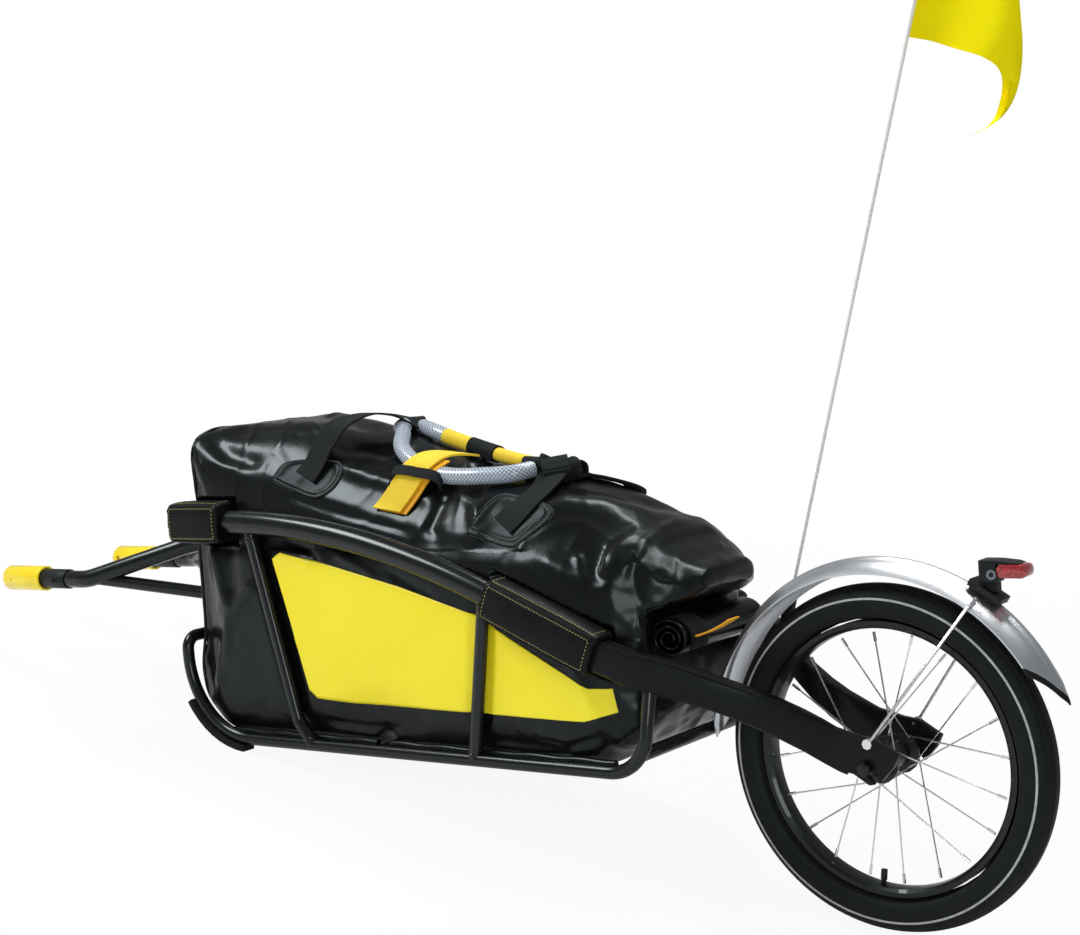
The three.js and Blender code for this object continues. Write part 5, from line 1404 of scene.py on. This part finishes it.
def sculpt_bag(obj):
    """Folds, creases and soft waves of the cloth, held in by the frame."""
    normals = coordinates(obj, "normal")
    d = unplaced(coordinates(obj))
    side = step(np.abs(normals[:, 1]), 0.35, 0.75)
    top = step(normals[:, 2], 0.1, 0.5) + 0.6 * side * step(d[:, 2], 270, 300)
    move = fold_bag(d, side, np.clip(top, 0, 1))
    for i, p in enumerate(d):
        waves = (wave_noise(p, *COARSE_NOISE), wave_noise(p, *FINE_NOISE))
        value = COARSE_HIGH * waves[0] + FINE_HIGH * waves[1]
        for wave, (direction, spacing, width, seed, height, share) in zip(waves, CREASES):
            value += height * crease(p, direction, spacing, width, seed) * max(0.0, wave + share)
        move[i] += value * (CALM_SHARE if side[i] > 0.7 and p[2] < CALM_BELOW else 1.0)
    front = (d[:, 0] < BAG_FRONT + 3) & (np.abs(normals[:, 0]) > 0.7)
    limit = np.where(front, FRONT_LIMIT, FOLD_LIMIT)
    moved = placed(d) + normals * (np.clip(move, -limit, limit) * MM)[:, None]
    move_to(obj, placed(held_in(unplaced(moved))))


# Cloth simulation of the stuffed pieces
FILL_FRAMES = 20
FILL_PRESSURE = 4.0
CLOTH = {"quality": 5, "mass": 0.3, "tension_stiffness": 20, "compression_stiffness": 20,
         "shear_stiffness": 8, "use_pressure": True, "uniform_pressure_force": FILL_PRESSURE}


def filled(obj, growth, bending, cap):
    """Lets the closed shell wrinkle as cloth under pressure, each point kept near its place."""
    before = coordinates(obj)
    cloth = obj.modifiers.new("cloth", "CLOTH")
    settings = {**CLOTH, "bending_stiffness": bending, "shrink_min": growth, "shrink_max": growth}
    for key, value in settings.items():
        setattr(cloth.settings, key, value)
    cloth.settings.effector_weights.gravity = 0
    cloth.collision_settings.use_collision = False
    cloth.point_cache.frame_start = 1
    cloth.point_cache.frame_end = FILL_FRAMES
    for number in range(1, FILL_FRAMES + 1):
        scene.frame_set(number)
    apply_modifiers(obj)
    scene.frame_set(1)
    move = coordinates(obj) - before
    reach = np.linalg.norm(move, axis=1, keepdims=True)
    near = move * np.minimum(1.0, cap * MM / np.maximum(reach, 1e-9))
    move_to(obj, before + np.where(np.isfinite(near), near, 0.0))


def bag_shell():
    """The bag's body and its folded tail as one closed skin of even faces."""
    starts = np.concatenate([np.linspace(0, 0.03, 6), np.linspace(0.04, 1.0, 150)])
    main = capped(shell(BAG_ROWS, starts, 200), 14, 2.0)
    main = bulged(main.reshape(-1, 3)).reshape(main.shape)
    tail = capped(shell(TAIL_ROWS, np.linspace(0.94, 1.08, 30), 120), 8, 3.0)
    parts = [loft("bag_main", placed(main), "coated_cloth"), loft("bag_tail", placed(tail), "coated_cloth")]
    bag = joined("dry_bag", parts)
    modify(bag, "REMESH", mode="VOXEL", voxel_size=0.005)
    finish_mesh(bag, "coated_cloth", 180)
    return bag


def add_bag():
    bag = bag_shell()
    filled(bag, -0.010, 7.0, 5.0)
    modify(bag, "SMOOTH", factor=0.5, iterations=2)
    modify(bag, "SUBSURF", levels=1)
    crisp_corner(bag)
    finish_mesh(bag, "coated_cloth", 180)
    sculpt_bag(bag)
    finish_mesh(bag, "coated_cloth", 180)
    dress(bag, "bag_body")
    return bag


bag_tree = surface_of(add_bag())

# Welt round the bag's front and hems along its floor
WELT_R = 2.2
WELT_LIFT = 0.8
HEM_R = 5.0
HEM_Y = 137.9
HEM_Z = 2.0
HEM_WAVE = 0.6
HEM_RUNS = ((-925.0, -651.0), (-629.0, -282.0))


def add_welt():
    """The piped seam round the bag's flat front end."""
    fine = np.linspace(0, ROUND, 361)[:-1]
    ring = even_ring(bulged(bag_ring(BAG_ROWS, 0.0, fine, 1.0)), 160)
    line = held_in(unplaced(laid(bag_tree, ring, WELT_LIFT)))
    smooth = [line[k - 2:k + 3].mean(0) for k in range(2, len(line) - 2)]
    loop = np.concatenate([line[:2], smooth, line[-2:], line[:1]])
    dress(tube("front_welt", placed(loop), WELT_R, "coated_cloth", 14))


def add_hem(name, side):
    hems = []
    for start, end in HEM_RUNS:
        xs = np.linspace(start, end, 60)
        line = points_at(xs, side * HEM_Y, HEM_Z + HEM_WAVE * np.sin(xs * 0.09))
        hems.append(tube("hem", placed(line), HEM_R, "coated_cloth", 14))
    dress(joined(f"bottom_hem_{name}", hems))


add_welt()
for name, side in SIDES:
    add_hem(name, side)

# Handle routes, rows of: along, across, lift, width share, turn
RISE = 30.0
WEB = 36.0
WEB_FRONT = [(0.2815, -0.872, 0.07, 1, 0), (0.293, -0.80, 0.12, 1, 0), (0.305, -0.72, 0.5, 1, 0),
             (0.33, -0.62, 1.05, 1, 0), (0.365, -0.42, 1.22, 1, 0.15), (0.385, -0.2, 1.05, 0.95, 0.4),
             (0.397, 0.02, 0.75, 0.6, 0.8), (0.4034, 0.199, 0.5, 0.45, 1)]
FAR_HOSE = [(0.4034, 0.199, 0.467), (0.4555, 0.053, 0.462), (0.5038, 0.019, 0.465), (0.5728, 0.0, 0.465),
            (0.6715, -0.165, 0.465), (0.745, -0.19, 0.46)]
NEAR_HOSE = [(0.3920, -0.02, 0.42), (0.4000, -0.12, 0.40), (0.4215, -0.229, 0.395), (0.4533, -0.451, 0.393),
             (0.491, -0.56, 0.39), (0.5369, -0.617, 0.388), (0.5888, -0.62, 0.388), (0.657, -0.579, 0.397),
             (0.7102, -0.474, 0.392), (0.7308, -0.301, 0.4)]
WEB_FAR = [(0.27, 0.9, 0.07, 1, 2), (0.29, 0.78, 0.3, 1, 2), (0.33, 0.5, 0.6, 1, 1.8),
           (0.37, 0.2, 0.6, 0.7, 1.4),
           (0.392, -0.02, 0.45, 0.5, 1.2)]
WEB_REAR = [(0.7687, -0.222, 0.5, 0.8, 1.6), (0.7789, -0.38, 0.42, 1, 1.8), (0.7789, -0.5, 0.2, 1, 2),
            (0.7644, -0.726, 0.12, 1, 2), (0.7371, -0.865, 0.07, 1, 2)]
WEB_FAR_REAR = [(0.765, -0.1, 0.3, 0.9, 0.2), (0.7812, 0.064, 0.065, 1, 0.1), (0.8153, 0.199, 0.065, 1, 0),
                (0.84, 0.45, 0.06, 1, 0), (0.80, 0.75, 0.06, 1, 0), (0.76, 0.9, 0.06, 1, 0)]
WRAP = [(0.4796, -0.887, 0.07, 1, 0), (0.5003, -0.801, 0.194, 1, 0), (0.5167, -0.752, 0.578, 1, 0),
        (0.528, -0.707, 0.825, 1, 0), (0.544, -0.586, 0.856, 1, 0), (0.5612, -0.481, 0.791, 1, 0),
        (0.5838, -0.323, 0.597, 1, 0)]
WRAP_UNDER = [(a + 0.012, c, r, w, t) for a, c, r, w, t in WRAP[:5]]
BAND = [(0.478, -0.76, 0.22, 1, 1), (0.485, -0.745, 0.56, 1, 1), (0.51, -0.755, 0.80, 1, 1),
        (0.5347, -0.756, 0.84, 1, 1), (0.5726, -0.735, 0.70, 1, 1), (0.5767, -0.71, 0.25, 1, 1)]
FRONT_PATCH = [(0.2058, -0.925), (0.2312, -0.827), (0.3386, -0.714), (0.356, -0.774), (0.3254, -0.91),
               (0.2432, -0.925)]
REAR_PATCH = [(0.671, -0.917), (0.6845, -0.797), (0.7201, -0.624), (0.8149, -0.654), (0.7847, -0.906),
              (0.7651, -0.929)]
WEB_THICK = 2.4
WEB_CLEAR = 1.6
STRAP_FACES = 45
# Turns of webbing in the knot: place, axis, radius, width, flatness
KNOT_MIDDLE = (0.7687, -0.222, 0.466)
KNOT_LEFT = (0.7287, -0.222, 0.399)
KNOT_RIGHT = (0.7821, -0.034, 0.329)
NEAR_HOSE_R = 10.8
FAR_HOSE_R = 10.2
# Dressing of the far hose: start and end as shares of its length, radius
FAR_TAGS = ((0.34, 0.55, 10.4), (0.68, 1.0, 9.0))
FAR_BAND = (0.53, 0.71, 11.4)
# Rings of a sewn patch: share of its outline, height over the cloth
PATCH_ROUNDS = ((1.0, 0.2), (0.985, 1.8), (0.955, 2.5), (0.92, 1.6), (0.885, 1.2), (0.85, 2.3), (0.80, 2.4),
                (0.76, 1.2), (0.6, 1.2), (0.4, 1.2), (0.2, 1.2))
PATCH_SEAMS = (0.975, 0.87)
# Threads: spacing, and length, half width and half height of one stitch
PATCH_THREAD = (3.4, (2.4, 0.6, 0.5))
PAD_THREAD = (4.0, (2.7, 0.5, 0.55))
STITCH_TAPER = 0.8


def on_bag(row):
    """A point over the bag, its lift counted from the cloth's own surface."""
    x, y, z = bag_point(row[0], row[1], row[2] * RISE)
    hit = met(bag_tree, (x, y, 620.0), DOWN)
    if hit is not None:
        z = max(z, hit[2] + min(row[2], 0.4) * RISE)
    return x, y, z


def above_bag(points, clear):
    """Points lifted where they would lie in the cloth."""
    out = []
    for p in placed(points):
        near, normal, _, _ = bag_tree.find_nearest(Vector(p))
        depth = (p - near) @ np.array(normal) - clear * MM
        out.append(p - np.array(normal) * min(depth, 0.0))
    return np.array(out)


def strap(name, rows, width, thickness, look, cols=9, lift=0.0, axis=None):
    """A band of webbing along rows over the bag, turned by their turn or held across an axis."""
    points = spline([on_bag(row) for row in rows], 10)
    place = np.linspace(0, len(rows) - 1, len(points))
    share, turn = (np.interp(place, range(len(rows)), [row[k] for row in rows]) for k in (3, 4))
    turn = turn * math.pi / 2
    tangent = unit(np.gradient(points, axis=0))
    if axis is None:
        across = points_at(np.cos(turn), -np.sin(turn), 0.0)
        across = unit(across - tangent * np.sum(across * tangent, axis=1, keepdims=True))
    else:
        across = np.tile(unit(axis), (len(points), 1))
    up = unit(np.cross(across, tangent))
    up = np.where(up[:, 2:3] < 0, -up, up)
    v = np.linspace(-0.5, 0.5, cols)[:, None] * (width * share)[:, None, None]
    net = points[:, None] + across[:, None] * v + up[:, None] * lift
    net = above_bag(net.reshape(-1, 3), thickness / 2 + WEB_CLEAR + lift).reshape(net.shape)
    obj = grid(name, net, look, thickness)
    finish_mesh(obj, look, STRAP_FACES)
    return obj


def patch_ring(outline, share, lift=0.0):
    """The patch's rounded outline drawn in to a share, as points over the bag."""
    corners = np.array(outline + [outline[0]])
    centre = corners[:-1].mean(0)
    return np.array([bag_point(a, c, lift) for a, c in centre + (spline(corners, 12) - centre) * share])


def patch(outline):
    """A sewn reinforcement lying on the cloth, with a doubled raised edge."""
    rings = np.array([laid(bag_tree, patch_ring(outline, share)[:-1], lift) for share, lift in PATCH_ROUNDS])
    rows, count = rings.shape[:2]
    faces = quads(rows, count, round_cols=True) + ends(rows, count)[1:]
    return new_object("patch", rings.reshape(-1, 3), faces, "patch_cloth", 70)


def stitches(name, lines, tree, look, spacing, size):
    """Small thread dashes laid on a surface along lines of design points."""
    verts = []
    for line in lines:
        points = even_line(line, max(3, int(run_along(line)[-1] / spacing)))
        for a, b in zip(points[:-1], points[1:]):
            near, normal, _, _ = tree.find_nearest(Vector(placed((a + b) / 2)))
            up = np.array(normal)
            across = unit(np.cross(up, unit(placed(b) - placed(a))))
            along = np.cross(across, up)
            for dz, lean in ((-1, 1.0), (1, STITCH_TAPER)):
                for dx, dy in ((-1, -1), (1, -1), (1, 1), (-1, 1)):
                    flat = (along * dx * size[0] / 2 + across * dy * size[1]) * lean
                    verts.append(np.array(near) + (flat + up * dz * size[2]) * MM)
    return blocks(name, np.array(verts), look)


def part_of(points, start, end):
    last = len(points) - 1
    return points[int(start * last):int(end * last) + 1]


def turn_of_web(centre, axis, radius, width, flatness):
    """A flattened turn of webbing round a bundle."""
    ax = unit(axis)
    other = unit(np.cross(ax, (0.1, 0.2, 0.97)))
    a = np.linspace(0, ROUND, 49)[:, None]
    wob = radius * (1 + 0.08 * np.sin(3 * a + radius))
    ring = np.asarray(centre) + (other * np.cos(a) + np.cross(ax, other) * np.sin(a) * flatness) * wob
    net = ring[:, None] + ax * width * np.linspace(-0.5, 0.5, 7)[:, None]
    return grid("turn", placed(net), "webbing", WEB_THICK)


def knot():
    middle_at, left, right = (np.array(on_bag(row)) for row in (KNOT_MIDDLE, KNOT_LEFT, KNOT_RIGHT))
    turns = ((left, (0.95, 0.25, -0.1), 15.5, 30, 0.7), (middle_at, (0.75, 0.6, 0.1), 19, 34, 0.8),
             ((middle_at + right) / 2, (0.3, 0.9, 0.2), 17, 30, 0.75),
             (right, (0.85, -0.4, 0.2), 14, 26, 0.7),
             ((middle_at + left) / 2 + np.array([0, 4, 5]), (0.4, 0.3, 0.86), 15, 16, 0.9))
    return [turn_of_web(*turn) for turn in turns]


def add_webbing():
    left = [strap("web", WEB_FRONT, WEB, WEB_THICK, "webbing"),
            strap("web", WEB_FAR_REAR, 30, WEB_THICK, "webbing")]
    dress(joined("handle_left_webbing", left + knot()), "handle_web_left")
    right = [strap("web", rows, WEB, WEB_THICK, "webbing") for rows in (WEB_FAR, WEB_REAR)]
    right.append(strap("band", BAND, 14, 1.8, "webbing", 5, 4.5, (0.1, -0.62, -0.78)))
    dress(joined("handle_right_webbing", right), "handle_web_right")


def add_hoses():
    near, far = (placed(spline([on_bag(row) for row in rows], 14)) for rows in (NEAR_HOSE, FAR_HOSE))
    dress(tube("braided_hose_near", near, NEAR_HOSE_R, "braided_hose", 32), "hose_grip_left")
    dress(tube("braided_hose_far", part_of(far, 0, 0.36), FAR_HOSE_R, "braided_hose", 32), "hose_grip_right")
    tags = [tube("tag", part_of(far, start, end), radius, "wrap_cloth") for start, end, radius in FAR_TAGS]
    dress(joined("far_hose_tags", tags))
    start, end, radius = FAR_BAND
    dress(tube("far_hose_band", part_of(far, start, end), radius, "webbing"))


def add_wrap():
    across = (1, 0, -0.12)
    # The second strap is an under layer; its darker orange is painted shade under the top layer.
    wraps = [strap("wrap", WRAP, 44, 2.6, "wrap_cloth", lift=1.6, axis=across),
             strap("wrap", WRAP_UNDER, 42, 2.2, "wrap_cloth_painted_shade", lift=-1.6, axis=across)]
    dress(joined("yellow_wrap", wraps), "grip_wrap")


def add_patches(name, outline):
    outlines = (outline, [(a, -c) for a, c in outline])
    patches = dress(joined(f"handle_patch_{name}", [patch(one) for one in outlines]))
    seams = [patch_ring(one, share, 2.0) for one in outlines for share in PATCH_SEAMS]
    dress(stitches(f"handle_patch_{name}_thread", seams, surface_of(patches), "thread_dark", *PATCH_THREAD))


add_webbing()
add_hoses()
add_wrap()
add_patches("front", FRONT_PATCH)
add_patches("rear", REAR_PATCH)

# Side panels, their outline as shares of the bag's length and height
PANEL = [(0.217, 0.578), (0.239, 0.598), (0.356, 0.561), (0.521, 0.499), (0.695, 0.416), (0.92, 0.213),
         (0.9615, 0.213), (0.967, 0.144), (0.907, 0.115), (0.682, 0.12), (0.392, 0.12), (0.303, 0.129),
         (0.285, 0.154), (0.251, 0.376)]
PANEL_LIFT = 0.7
PANEL_THICK = 0.8


def panel_edges():
    """Upper and lower bounds of the panel at close columns."""
    left = min(range(len(PANEL)), key=lambda k: PANEL[k][0])
    ring = PANEL[left:] + PANEL[:left]
    right = max(range(len(ring)), key=lambda k: ring[k][0])
    over = np.array(ring[:right + 1])
    under = np.array((ring[right:] + ring[:1])[::-1])
    shares = np.unique(np.concatenate([np.linspace(over[0, 0], over[-1, 0], 190), over[:, 0], under[:, 0]]))
    return shares, np.interp(shares, over[:, 0], over[:, 1]), np.interp(shares, under[:, 0], under[:, 1])


def add_panel(name, side):
    shares, over, under = panel_edges()
    high = under[:, None] + (over - under)[:, None] * np.linspace(0, 1, 44)
    net = points_at(BAG_FRONT + BAG_LONG * shares[:, None], side * 220.0, BAG_LOW + BAG_TALL * high)
    for p in net.reshape(-1, 3):
        hit = met(bag_tree, p, (0, -side, 0), 0.2)
        p[1] = (side * BAG_HALF if hit is None else hit[1]) + side * PANEL_LIFT
    dress(grid(f"panel_{name}_sheet", placed(net), "panel_print", PANEL_THICK, 60), f"side_panel_{name}")


for name, side in SIDES:
    add_panel(name, side)

# Rolled mouth, and the orange strap end that stands out of it with its black keeper
ROLL_TURNS = 2.6
ROLL_START = -0.6
ROLL_INNER_R = 6.0
ROLL_GROWTH = 19.0
ROLL_HALF = 88.0
ROLL_WAVE = 1.2
ROLL_SHIFT = np.array([5.0, 0.0, -1.0])
ROLL_STRAP = [(14, 20), (22, 12), (32, 2), (48, 6), (70, 16), (80, 22)]
KEEPER_R = (27.6, 24.4)


def add_roll(centre):
    t = np.linspace(0, 1, 120)[:, None]
    a = ROLL_START + t * ROLL_TURNS * ROUND
    r = ROLL_INNER_R + ROLL_GROWTH * t
    y = np.linspace(-ROLL_HALF, ROLL_HALF, 46)
    wob = ROLL_WAVE * np.sin(y * 0.05 + np.arange(120)[:, None] * 0.11) * t
    net = points_at(np.cos(a) * r * 1.05 + wob, y, np.sin(a) * r * 0.92 + wob * 0.6) + centre + ROLL_SHIFT
    dress(grid("rolled_mouth", placed(net), "coated_cloth", 2.6), "bag_roll_top")


def add_roll_strap(centre):
    route = spline([(x, 0, z) for x, z in ROLL_STRAP], 10) + centre
    net = route[:, None] + points_at(0, np.linspace(-74, -50, 7), 0)
    # The strap end takes the wrap cloth's painted-shade orange.
    dress(grid("roll_strap_end", placed(net), "wrap_cloth_painted_shade", 1.8))
    a = np.radians(170 - 200 * np.linspace(0, 1, 25))[:, None]
    keeper = points_at(np.cos(a) * KEEPER_R[0], np.linspace(-80, -44, 7), np.sin(a) * KEEPER_R[1])
    dress(grid("roll_strap_keeper", placed(keeper + centre + ROLL_SHIFT), "webbing", 1.6))


roll_centre = unplaced(middle("bag_roll_top") * np.array([1, 0, 1]))
add_roll(roll_centre)
add_roll_strap(roll_centre)

# Rail wraps; ends as share of the section and shift along, seams as shares of the width and height
PAD_ENDS = ((0.66, 4.0), (0.74, 1.2), (0.86, 0.0), (0.955, 0.6))
PAD_POWER = 0.42
PAD_SIZES = (("front", 49, 55), ("rear", 47, 54))
PAD_FRONT = (-970, -876)
PAD_REAR_LAP = 10.0
PAD_REAR_LONG = 168.0
LONG_SEAMS = ((0.5, 0.37), (0.5, -0.37), (0.33, 0.5))
WELT_SEAMS = ((0.46, 0.455), (0.46, -0.455))
PAD_WELT_R = 1.1
PAD_WELT_LIFT = 0.2


def wrap_path(which, y):
    """The rail's middle line inside a wrap."""
    if which == "front":
        xs = np.linspace(*PAD_FRONT, 16)
        return points_at(xs, y, rail_height(xs))
    c, s = math.cos(ARC_TURN), math.sin(ARC_TURN)
    start = ARC_END - PAD_REAR_LAP * c
    t = np.linspace(0, PAD_REAR_LONG, 24)
    return points_at(start + t * c, y, rail_height(start) - t * s)


class Wrap:
    """A wrap's path with its directions outwards and upwards and its outer sizes."""

    def __init__(self, which, side, width, height):
        self.path = wrap_path(which, side * RAIL_Y)
        self.along = unit(np.gradient(self.path, axis=0))
        up = unit(points_at(-self.along[:, 2], 0.0, self.along[:, 0]))
        self.up = np.where(up[:, 2:3] < 0, -up, up)
        self.side = side
        self.size = np.array([width, height])

    def at(self, k, out, up):
        """A place beside the path's points, in shares of the width and the height."""
        return self.path[k] + [0, out * self.side * self.size[0], 0] + up * self.size[1] * self.up[k]

    def rings(self):
        """The closed form: full in the middle, its ends folded in round the rail."""
        c, s = np.cos(around(64)), np.sin(around(64))
        ring = np.sign((c, s)) * np.abs((c, s)) ** PAD_POWER / 2
        last = len(self.path) - 1
        rings = [self.ring(0, ring * share) + self.along[0] * shift for share, shift in PAD_ENDS]
        for k in range(1, last):
            u = k / last
            swell = 1.0 - 0.035 * abs(2 * u - 1) ** 5 - 0.012 * math.cos(u * 7 + self.side)
            rings.append(self.ring(k, ring * swell))
        rings += [self.ring(last, ring * share) - self.along[-1] * shift for share, shift in PAD_ENDS[::-1]]
        return np.array(rings)

    def ring(self, k, ring):
        return np.array([self.at(k, out, up) for out, up in ring.T])

    def seams(self):
        """Lines of stitches: three along the wrap and two at each of its ends."""
        last = len(self.path) - 1
        inner = slice(1, last)
        lines = [self.at(inner, out, up) for out, up in LONG_SEAMS]
        for k in (1, last - 1):
            lines.append(np.array([self.at(k, 0.5, v) for v in np.linspace(-0.36, 0.36, 6)]))
            lines.append(np.array([self.at(k, v, 0.5) for v in np.linspace(0.34, -0.2, 5)]))
        return lines, [self.at(inner, out, up) for out, up in WELT_SEAMS]


def add_pad(label, wrap):
    """One wrap with its stitches and welts."""
    pad = loft(f"pad_{label}_wrap", placed(wrap.rings()), "pad_leather", 50)
    modify(pad, "REMESH", mode="VOXEL", voxel_size=0.004)
    filled(pad, -0.008, 3.0, 2.2)
    modify(pad, "SUBSURF", levels=1)
    finish_mesh(pad, "pad_leather", 180)
    dress(pad, f"rail_pad_{label}")
    tree = surface_of(pad)
    seams, edges = wrap.seams()
    dress(stitches(f"pad_{label}_stitches", seams, tree, "stitching", *PAD_THREAD))
    welts = [tube("welt", laid(tree, line, PAD_WELT_LIFT), PAD_WELT_R, "pad_leather", 8) for line in edges]
    dress(joined(f"pad_{label}_welts", welts))


for which, width, height in PAD_SIZES:
    for name, side in SIDES:
        add_pad(f"{which}_{name}", Wrap(which, side, width, height))

# Floor, surroundings and lamps; lamps as name, place, aim, size and power
FLOOR_HALF = 60.0
FLOOR_DROP = 0.0005
FLOOR_GREY = 0.80
FLOOR_ROUGH = 0.9
FLOOR_NEAR = 0.92
FLOOR_FADE = (0.7, 2.0)
FLOOR_MIRROR = 0.25
HORIZON_GREY = 0.42
WORLD_GREY = (0.105, 0.118, 0.130)
WORLD_RISE = 0.30
MIRROR_WHITE = 0.12
LAMPS = (
    ("key", (-1.9, -1.3, 2.3), (-0.1, 0.0, 0.3), (1.5, 0.8), 66),
    ("top", (0.2, 0.7, 2.6), (0.0, 0.0, 0.3), (2.4, 0.6), 50),
    ("fill", (2.2, -2.4, 1.2), (0.2, 0.0, 0.3), (0.9, 1.3), 26),
)


def rays(tree):
    """1 where a surface is seen or shone through, and 1 where it is mirrored."""
    path = tree.node("LightPath").outputs
    seen = tree.maths("MAXIMUM", path["Is Camera Ray"], path["Is Transmission Ray"])
    return seen, path["Is Glossy Ray"]


def floor_paint():
    p = Paint("floor_pale")
    p.plain(grey(FLOOR_GREY), Roughness=FLOOR_ROUGH)
    seen, mirrored = rays(p)
    far = p.node("VectorMath", p.node("TexCoord").outputs["Object"], operation="LENGTH").outputs["Value"]
    shown = p.maths("MULTIPLY", seen, p.remap(far, FLOOR_NEAR, 1.0, *FLOOR_FADE))
    share = p.maths("MAXIMUM", shown, p.maths("MULTIPLY", mirrored, FLOOR_MIRROR))
    mix = p.node("MixShader", share, p.shader.outputs[0], p.node("Emission").outputs[0])
    p.feed(p.tree.nodes["Material Output"].inputs["Surface"], mix.outputs[0])
    return p.mat


def add_floor():
    mesh = bpy.data.meshes.new("floor")
    corners = [(x * FLOOR_HALF, y * FLOOR_HALF, 0) for x, y in ((-1, -1), (1, -1), (1, 1), (-1, 1))]
    mesh.from_pydata(corners, [], [(0, 1, 2, 3)])
    mesh.materials.append(floor_paint())
    floor = linked("floor", mesh)
    floor.location.z = -FLOOR_DROP


def add_world():
    scene.world = bpy.data.worlds.new("studio")
    scene.world.use_nodes = True
    tree = Nodes(scene.world.node_tree)
    up = tree.node("SeparateXYZ", tree.node("TexCoord").outputs["Generated"]).outputs["Z"]
    sky = tree.ramp(up, (0.0, grey(HORIZON_GREY)), (WORLD_RISE, WORLD_GREY))
    seen, mirrored = rays(tree)
    white = tree.mix(tree.maths("MULTIPLY_ADD", mirrored, MIRROR_WHITE, seen), sky, grey(1))
    tree.feed(tree.tree.nodes["Background"].inputs["Color"], white)


def add_lamps():
    for name, place, aim, size, power in LAMPS:
        lamp = bpy.data.lights.new(name, "AREA")
        lamp.shape = "RECTANGLE"
        lamp.size, lamp.size_y = size
        lamp.energy = power
        obj = linked(name, lamp)
        obj.location = place
        obj.rotation_euler = (Vector(aim) - Vector(place)).to_track_quat("-Z", "Y").to_euler()


add_floor()
add_world()
add_lamps()
scene.view_settings.view_transform = "Standard"
